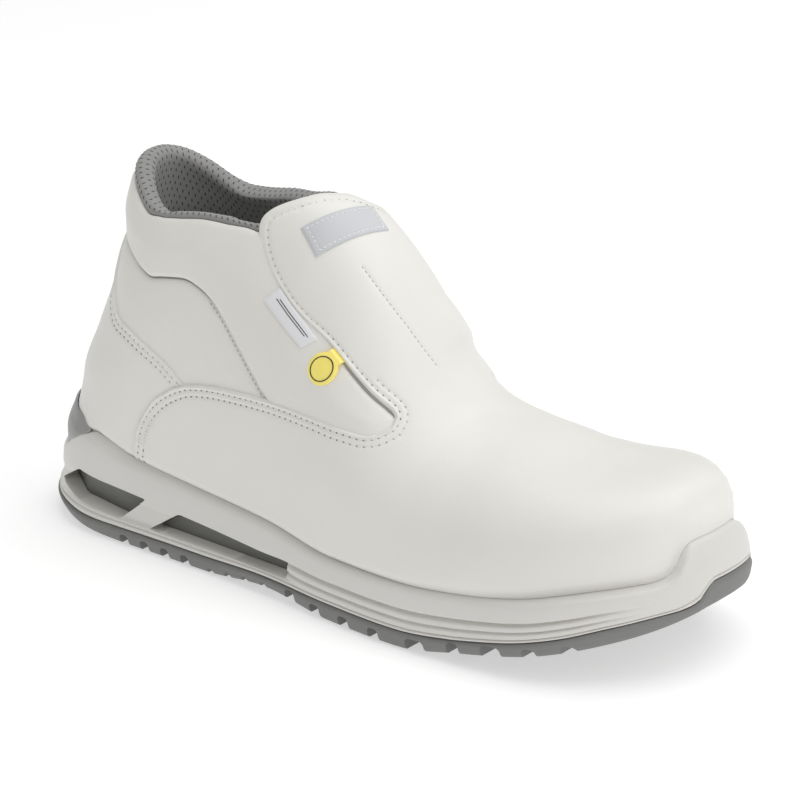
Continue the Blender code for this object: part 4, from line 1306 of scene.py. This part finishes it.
def on_patch(a, b):
    """Points of the patch on the last; a and b run from 0 to 1 along its length and its width."""
    first = PATCH_CORNERS[0] + np.multiply.outer(a, PATCH_CORNERS[1] - PATCH_CORNERS[0])
    second = PATCH_CORNERS[3] + np.multiply.outer(a, PATCH_CORNERS[2] - PATCH_CORNERS[3])
    return dropped(first + b[:, None] * (second - first), PATCH_WAY)


along_patch, across_patch = grid(np.linspace(0, 1, PATCH_COLUMNS), np.linspace(0, 1, 40))
patch_edge = to_rim(along_patch, across_patch, PATCH_LONG, PATCH_WIDE)
patch_top = 0.75 + dip(patch_edge, 0.35, 0.4) + dip(patch_edge - PATCH_STITCH, 0.15, 0.5)
patch_points = on_patch(along_patch, across_patch)
label = laid("patch_cloth", patch_points, PATCH_COLUMNS, PATCH_CLOTH, SINK, patch_top, vamp_lift)
hand_over(label, "pale_grey_patch", "label_patch")

# %% Lay the tab and its lines
TAB = np.array([(128.1, 117.5), (122.7, 112.1), (142.1, 98.5), (147.7, 102)])
TAB_LONG, TAB_WIDE, TAB_COLUMNS = 24.0, 7.0, 40
TAB_LINES = ((0.42, 0.12, 0.86), (0.30, 0.16, 0.9))     # place across the tab, start and end along it
LINE_HALF, LINE_COLUMNS = 0.022, 30


def on_tab(down, across):
    """Points of the last under the tab; both inputs run from 0 to 1."""
    down, across = down[:, None], across[:, None]
    top = (1 - across) * TAB[0] + across * TAB[1]
    foot = (1 - across) * TAB[3] + across * TAB[2]
    return on_side((1 - down) * top + down * foot)


down, across = grid(np.linspace(0, 1, TAB_COLUMNS), np.linspace(0, 1, 14))
tab_top = 0.75 + dip(to_rim(down, across, TAB_LONG, TAB_WIDE), 0.3, 0.4)
tab = laid("ribbon_tab", on_tab(down, across), TAB_COLUMNS, RIBBON, SINK, tab_top, collar_lift)
hand_over(tab, "white_ribbon", "side_tab")
for number, (place, start, stop) in enumerate(TAB_LINES):
    down, across = grid(np.linspace(start, stop, LINE_COLUMNS), place + np.array([-LINE_HALF, LINE_HALF]))
    line = laid(f"tab_line_{number}", on_tab(down, across), LINE_COLUMNS, PRINT, 0.6, 0.79, collar_lift)
    hand_over(line, "white_ribbon")

# %% Lay the tag, its ring and its neck
TAG = {"along": 152.5, "z": 92.6, "radius": 5.8, "neck": 3.2, "reach": 9.0, "under": 7.9, "turn": 51.5}
TAG_BASE, TAG_TOP, NECK_SINK, NECK_COLUMNS = 3.0, 3.75, 2.6, 12
TAG_RINGS = np.array([0.02, 0.3, 0.55, 0.66, 0.70, 0.76, 0.80, 0.9, 0.97, 1.0])
RING_SECTION = ((0.70, 3.9), (0.70, 4.12), (0.77, 4.12), (0.77, 3.9))   # share of the radius, and height
angles = np.linspace(0, 2 * np.pi, 65)[:-1]


def tag_loop(size, angle, lift):
    """Points round the tag's middle at a share of its radius, lifted off the last."""
    far = TAG["radius"] * size
    points = on_side(np.stack([TAG["along"] + far * np.cos(angle), TAG["z"] + far * np.sin(angle)], -1))
    return points + np.reshape(lift, (-1, 1)) * outward(points)


angle, size = grid(angles, TAG_RINGS)
disc_top = TAG_TOP + dip(size - 0.73, -0.3, 0.05) + dip(1 - size, 0.3, 0.04)
upper, lower = (tag_loop(size, angle, lift).reshape(len(TAG_RINGS), -1, 3) for lift in (disc_top, TAG_BASE))
disc_loops = np.concatenate([upper, lower[::-1]])
rows, count = disc_loops.shape[:2]
disc_faces = bands(rows, count) + [tuple(range(count)), tuple(range((rows - 1) * count, rows * count))]
tag = mesh_object("tag_disc", disc_loops, disc_faces, YELLOW_PAINTED_GLOW)
hand_over(tag, "yellow_plastic", "round_tag")
tag_ring = tube("tag_ring", [tag_loop(share, angles, lift) for share, lift in RING_SECTION], PRINT)
hand_over(tag_ring, "yellow_plastic")
reach, aside = grid(
    np.linspace(0.8 * TAG["radius"], TAG["reach"], NECK_COLUMNS), TAG["neck"] * np.linspace(-1, 1, 7)
)
level, rising = math.cos(math.radians(TAG["turn"])), math.sin(math.radians(TAG["turn"]))
neck = np.stack([TAG["along"] + reach * level - aside * rising, TAG["z"] + reach * rising + aside * level], -1)
sink = NECK_SINK * soft_step(reach, TAG["radius"], TAG["under"])
tag_neck = laid("tag_neck", on_side(neck), NECK_COLUMNS, YELLOW_PAINTED_GLOW, TAG_BASE - sink, TAG_TOP - 0.1 - sink)
hand_over(tag_neck, "yellow_plastic")

# %% [markdown]
# ## Elastic in the slit
# Beside the flap's lower edge the collar panel stops short, and grey elastic shows in the slit on both sides. A
# flat strip under both edges is enough, because only a narrow band of it is seen.

# %% Build the elastic
low_flap = flap_even[flap_height < 112]
strip_runs = linked(moved(low_flap, 5.0)[::-1], moved(low_flap, -UNDERLAP))
for side, runs in (("lateral", strip_runs), ("medial", round_heel(strip_runs))):
    strip = patch("elastic_" + side, runs, level_lift(0.55), ELASTIC, 1.5)
    hand_over(strip, "grey_mesh")

# %% [markdown]
# ## Stitches
# Lockstitch shows as short threads with a needle hole at each end; the shade in each hole is painted, as a dark
# bead. Every row is a path with the direction that the panel faces stored on it; Geometry Nodes space points
# evenly on the path and put a bead on each one. The same tree can lay beads on loose points, which then also store
# the way that each bead runs.

# %% Make the bead trees
def bead_tree(name, rings, on_path):
    """A tree that lays beads on paths at an even pitch, or on loose points, turned to stored directions."""
    tree = bpy.data.node_groups.new(name, "GeometryNodeTree")
    socket, node, link = tree.interface.new_socket, tree.nodes.new, tree.links.new
    socket("Geometry", in_out="INPUT", socket_type="NodeSocketGeometry")
    for label in ("Length", "Width", "Height") + (("Pitch",) if on_path else ()):
        socket(label, in_out="INPUT", socket_type="NodeSocketFloat")
    socket("Finish", in_out="INPUT", socket_type="NodeSocketMaterial")
    socket("Geometry", in_out="OUTPUT", socket_type="NodeSocketGeometry")

    def chain(*nodes):
        """Join the first output of each node to the first input of the next."""
        for one, after in zip(nodes, nodes[1:]):
            link(one.outputs[0], after.inputs[0])

    def stored(label):
        """A direction that is stored on the points."""
        made = node("GeometryNodeInputNamedAttribute")
        made.data_type = "FLOAT_VECTOR"
        made.inputs["Name"].default_value = label
        return made.outputs["Attribute"]

    given = node("NodeGroupInput")
    bead, shaped = node("GeometryNodeMeshUVSphere"), node("GeometryNodeTransform")
    scale = node("ShaderNodeCombineXYZ")
    for label, value in (("Segments", 8), ("Rings", rings), ("Radius", 0.5)):
        bead.inputs[label].default_value = value
    for label, axis in (("Length", "X"), ("Width", "Y"), ("Height", "Z")):
        link(given.outputs[label], scale.inputs[axis])
    link(scale.outputs["Vector"], shaped.inputs["Scale"])
    chain(bead, node("GeometryNodeSetShadeSmooth"), shaped)
    ahead, upright = node("FunctionNodeAlignRotationToVector"), node("FunctionNodeAlignRotationToVector")
    ahead.axis, upright.axis, upright.pivot_axis = "X", "Z", "X"
    put, paint = node("GeometryNodeInstanceOnPoints"), node("GeometryNodeSetMaterial")
    if on_path:
        evenly = node("GeometryNodeResampleCurve")
        evenly.mode = "LENGTH"
        link(given.outputs["Pitch"], evenly.inputs["Length"])
        link(node("GeometryNodeInputTangent").outputs["Tangent"], ahead.inputs["Vector"])
        chain(given, node("GeometryNodeMeshToCurve"), evenly, put)
    else:
        link(stored("way"), ahead.inputs["Vector"])
        chain(given, node("GeometryNodeMeshToPoints"), put)
    link(ahead.outputs["Rotation"], upright.inputs["Rotation"])
    link(stored("facing"), upright.inputs["Vector"])
    link(upright.outputs["Rotation"], put.inputs["Rotation"])
    link(shaped.outputs["Geometry"], put.inputs["Instance"])
    link(given.outputs["Finish"], paint.inputs["Material"])
    chain(put, node("GeometryNodeRealizeInstances"), paint, node("NodeGroupOutput"))
    return tree


STITCH = bead_tree("stitch_run", 6, on_path=True)
SLITS = bead_tree("slits", 5, on_path=False)
print(len(STITCH.nodes), "nodes for stitches,", len(SLITS.nodes), "for slits")


# %% Turn points into beads
def beads(name, tree, points, edges, ways, look, slot, **sizes):
    """Points in mm with stored directions, turned into one mesh of beads by a tree; sizes are in mm."""
    mesh = bpy.data.meshes.new(name)
    mesh.from_pydata(to_world(points).tolist(), edges, [])
    for label, vectors in ways.items():
        mesh.attributes.new(label, "FLOAT_VECTOR", "POINT").data.foreach_set("vector", vectors.ravel())
    made = bpy.data.objects.new(name, mesh)
    step = made.modifiers.new("beads", "NODES")
    step.node_group = tree
    for socket in tree.interface.items_tree:
        if socket.in_out == "INPUT" and socket.name in sizes:
            step[socket.identifier] = sizes[socket.name] * MM
        if socket.in_out == "INPUT" and socket.name == "Finish":
            step[socket.identifier] = look
    bpy.context.scene.collection.objects.link(made)
    bake(made)
    hand_over(made, slot)


def sewn(name, paths, look, slot, **sizes):
    """Stitches along paths, each an array of points in mm and an array of the directions they face."""
    edges, first = [], 0
    for points, _ in paths:
        edges += [(k, k + 1) for k in range(first, first + len(points) - 1)]
        first += len(points)
    points, facing = (np.concatenate(column) for column in zip(*paths))
    beads(name, STITCH, points, edges, {"facing": facing}, look, slot, **sizes)


def raised(points, lift, proud):
    """A path on a panel, with the way it faces."""
    normal = outward(points)
    return points + (lift(points) + proud)[:, None] * normal, normal


def later(run, amount):
    """The same run started a little later, so that holes fall between threads."""
    far = travelled(last_point(*run.T))
    return at_travel(run, far, np.linspace(amount, far[-1], len(run)))


# %% Sew the seams
STITCH_PITCH, FINE_PITCH, PROUD = 2.8, 2.1, 0.02
seams = [(row, vamp_lift) for row in vamp_rows[:-1]] + [(row, counter_lift) for row in counter_rows]
fine_rows = [(dart_row, vamp_lift), (seam_row, quarter_lift), (heel_side(seam_row), quarter_lift_medial)]
threads, fine = ([raised(last_point(*row.T), lift, PROUD) for row, lift in sewing] for sewing in (seams, fine_rows))
# The needle holes are dark beads of painted shade, between the threads
holes = [raised(last_point(*later(row, STITCH_PITCH / 2).T), lift, 0.0) for row, lift in seams]
sewn("seam_threads", threads, THREAD, "white_microfibre", Pitch=STITCH_PITCH, Length=1.9, Width=0.5, Height=0.3)
sewn("seam_hole_shades", holes, NEEDLE_HOLE_SHADE, "white_microfibre", Pitch=STITCH_PITCH, Length=1.3, Width=0.85, Height=0.3)
sewn("fine_threads", fine, DART, "white_microfibre", Pitch=FINE_PITCH, Length=1.3, Width=0.4, Height=0.3)
near_a, near_b = PATCH_STITCH / PATCH_LONG, PATCH_STITCH / PATCH_WIDE
far_a, far_b = 1 - near_a, 1 - near_b
border = np.array([(near_a, near_b), (far_a, near_b), (far_a, far_b), (near_a, far_b), (near_a, near_b)])
border = np.concatenate([np.linspace(start, stop, 60) for start, stop in zip(border[:-1], border[1:])])
patch_row = raised(on_patch(*border.T), vamp_lift, 0.65)
sewn("patch_threads", [patch_row], RIBBON, "pale_grey_patch", Pitch=2.0, Length=1.6, Width=0.5, Height=0.4)

# %% [markdown]
# ## Perforated mesh
# The lining has rows of small slits. Points are spaced over its roll and its inside, every other row shifted by
# half a step, and the second tree lays a flat lens of painted shade on each one, turned to the way the mesh faces.

# %% Make the perforations
SLIT_STEP, SLIT_PROBE = 2.7, 0.3
section = lining_loops[5:39]
columns = section.shape[1]
travel = np.cumsum(np.linalg.norm(np.diff(section, axis=0), axis=2), axis=0)
travel = np.concatenate([np.zeros((1, columns)), travel])
slit_points, slit_ways = [], []
for k in range(int(travel.max() / SLIT_STEP)):
    depth = (k + 0.5) * SLIT_STEP
    row, below = (
        np.array([at_travel(section[:, j], travel[:, j], down) for j in range(columns)])
        for down in (depth, depth + SLIT_PROBE)
    )
    closed = np.concatenate([row, row[:1]])
    far = travelled(closed)
    count = int(far[-1] / SLIT_STEP)
    at = (np.arange(count) + (0.5 if k % 2 else 0.0)) * far[-1] / count
    nearest = np.searchsorted(far, at) % columns
    keep = travel[-1][nearest] > depth
    slit_points.append(at_travel(closed, far, at)[keep])
    slit_ways.append((below - row)[nearest][keep])
slit_points, slit_ways = np.concatenate(slit_points), np.concatenate(slit_ways)
surface = KDTree(len(lining.data.vertices))
for vertex in lining.data.vertices:
    surface.insert(vertex.co, vertex.index)
surface.balance()
slit_facing = np.array([
    lining.data.vertices[surface.find(point)[1]].normal for point in to_world(slit_points)
])
print(len(slit_points), "slits")
slit_store = {"facing": slit_facing, "way": slit_ways}
beads("lining_slits", SLITS, slit_points, [], slit_store, SLIT_SHADE, "grey_mesh", Length=1.6, Width=0.55, Height=0.2)
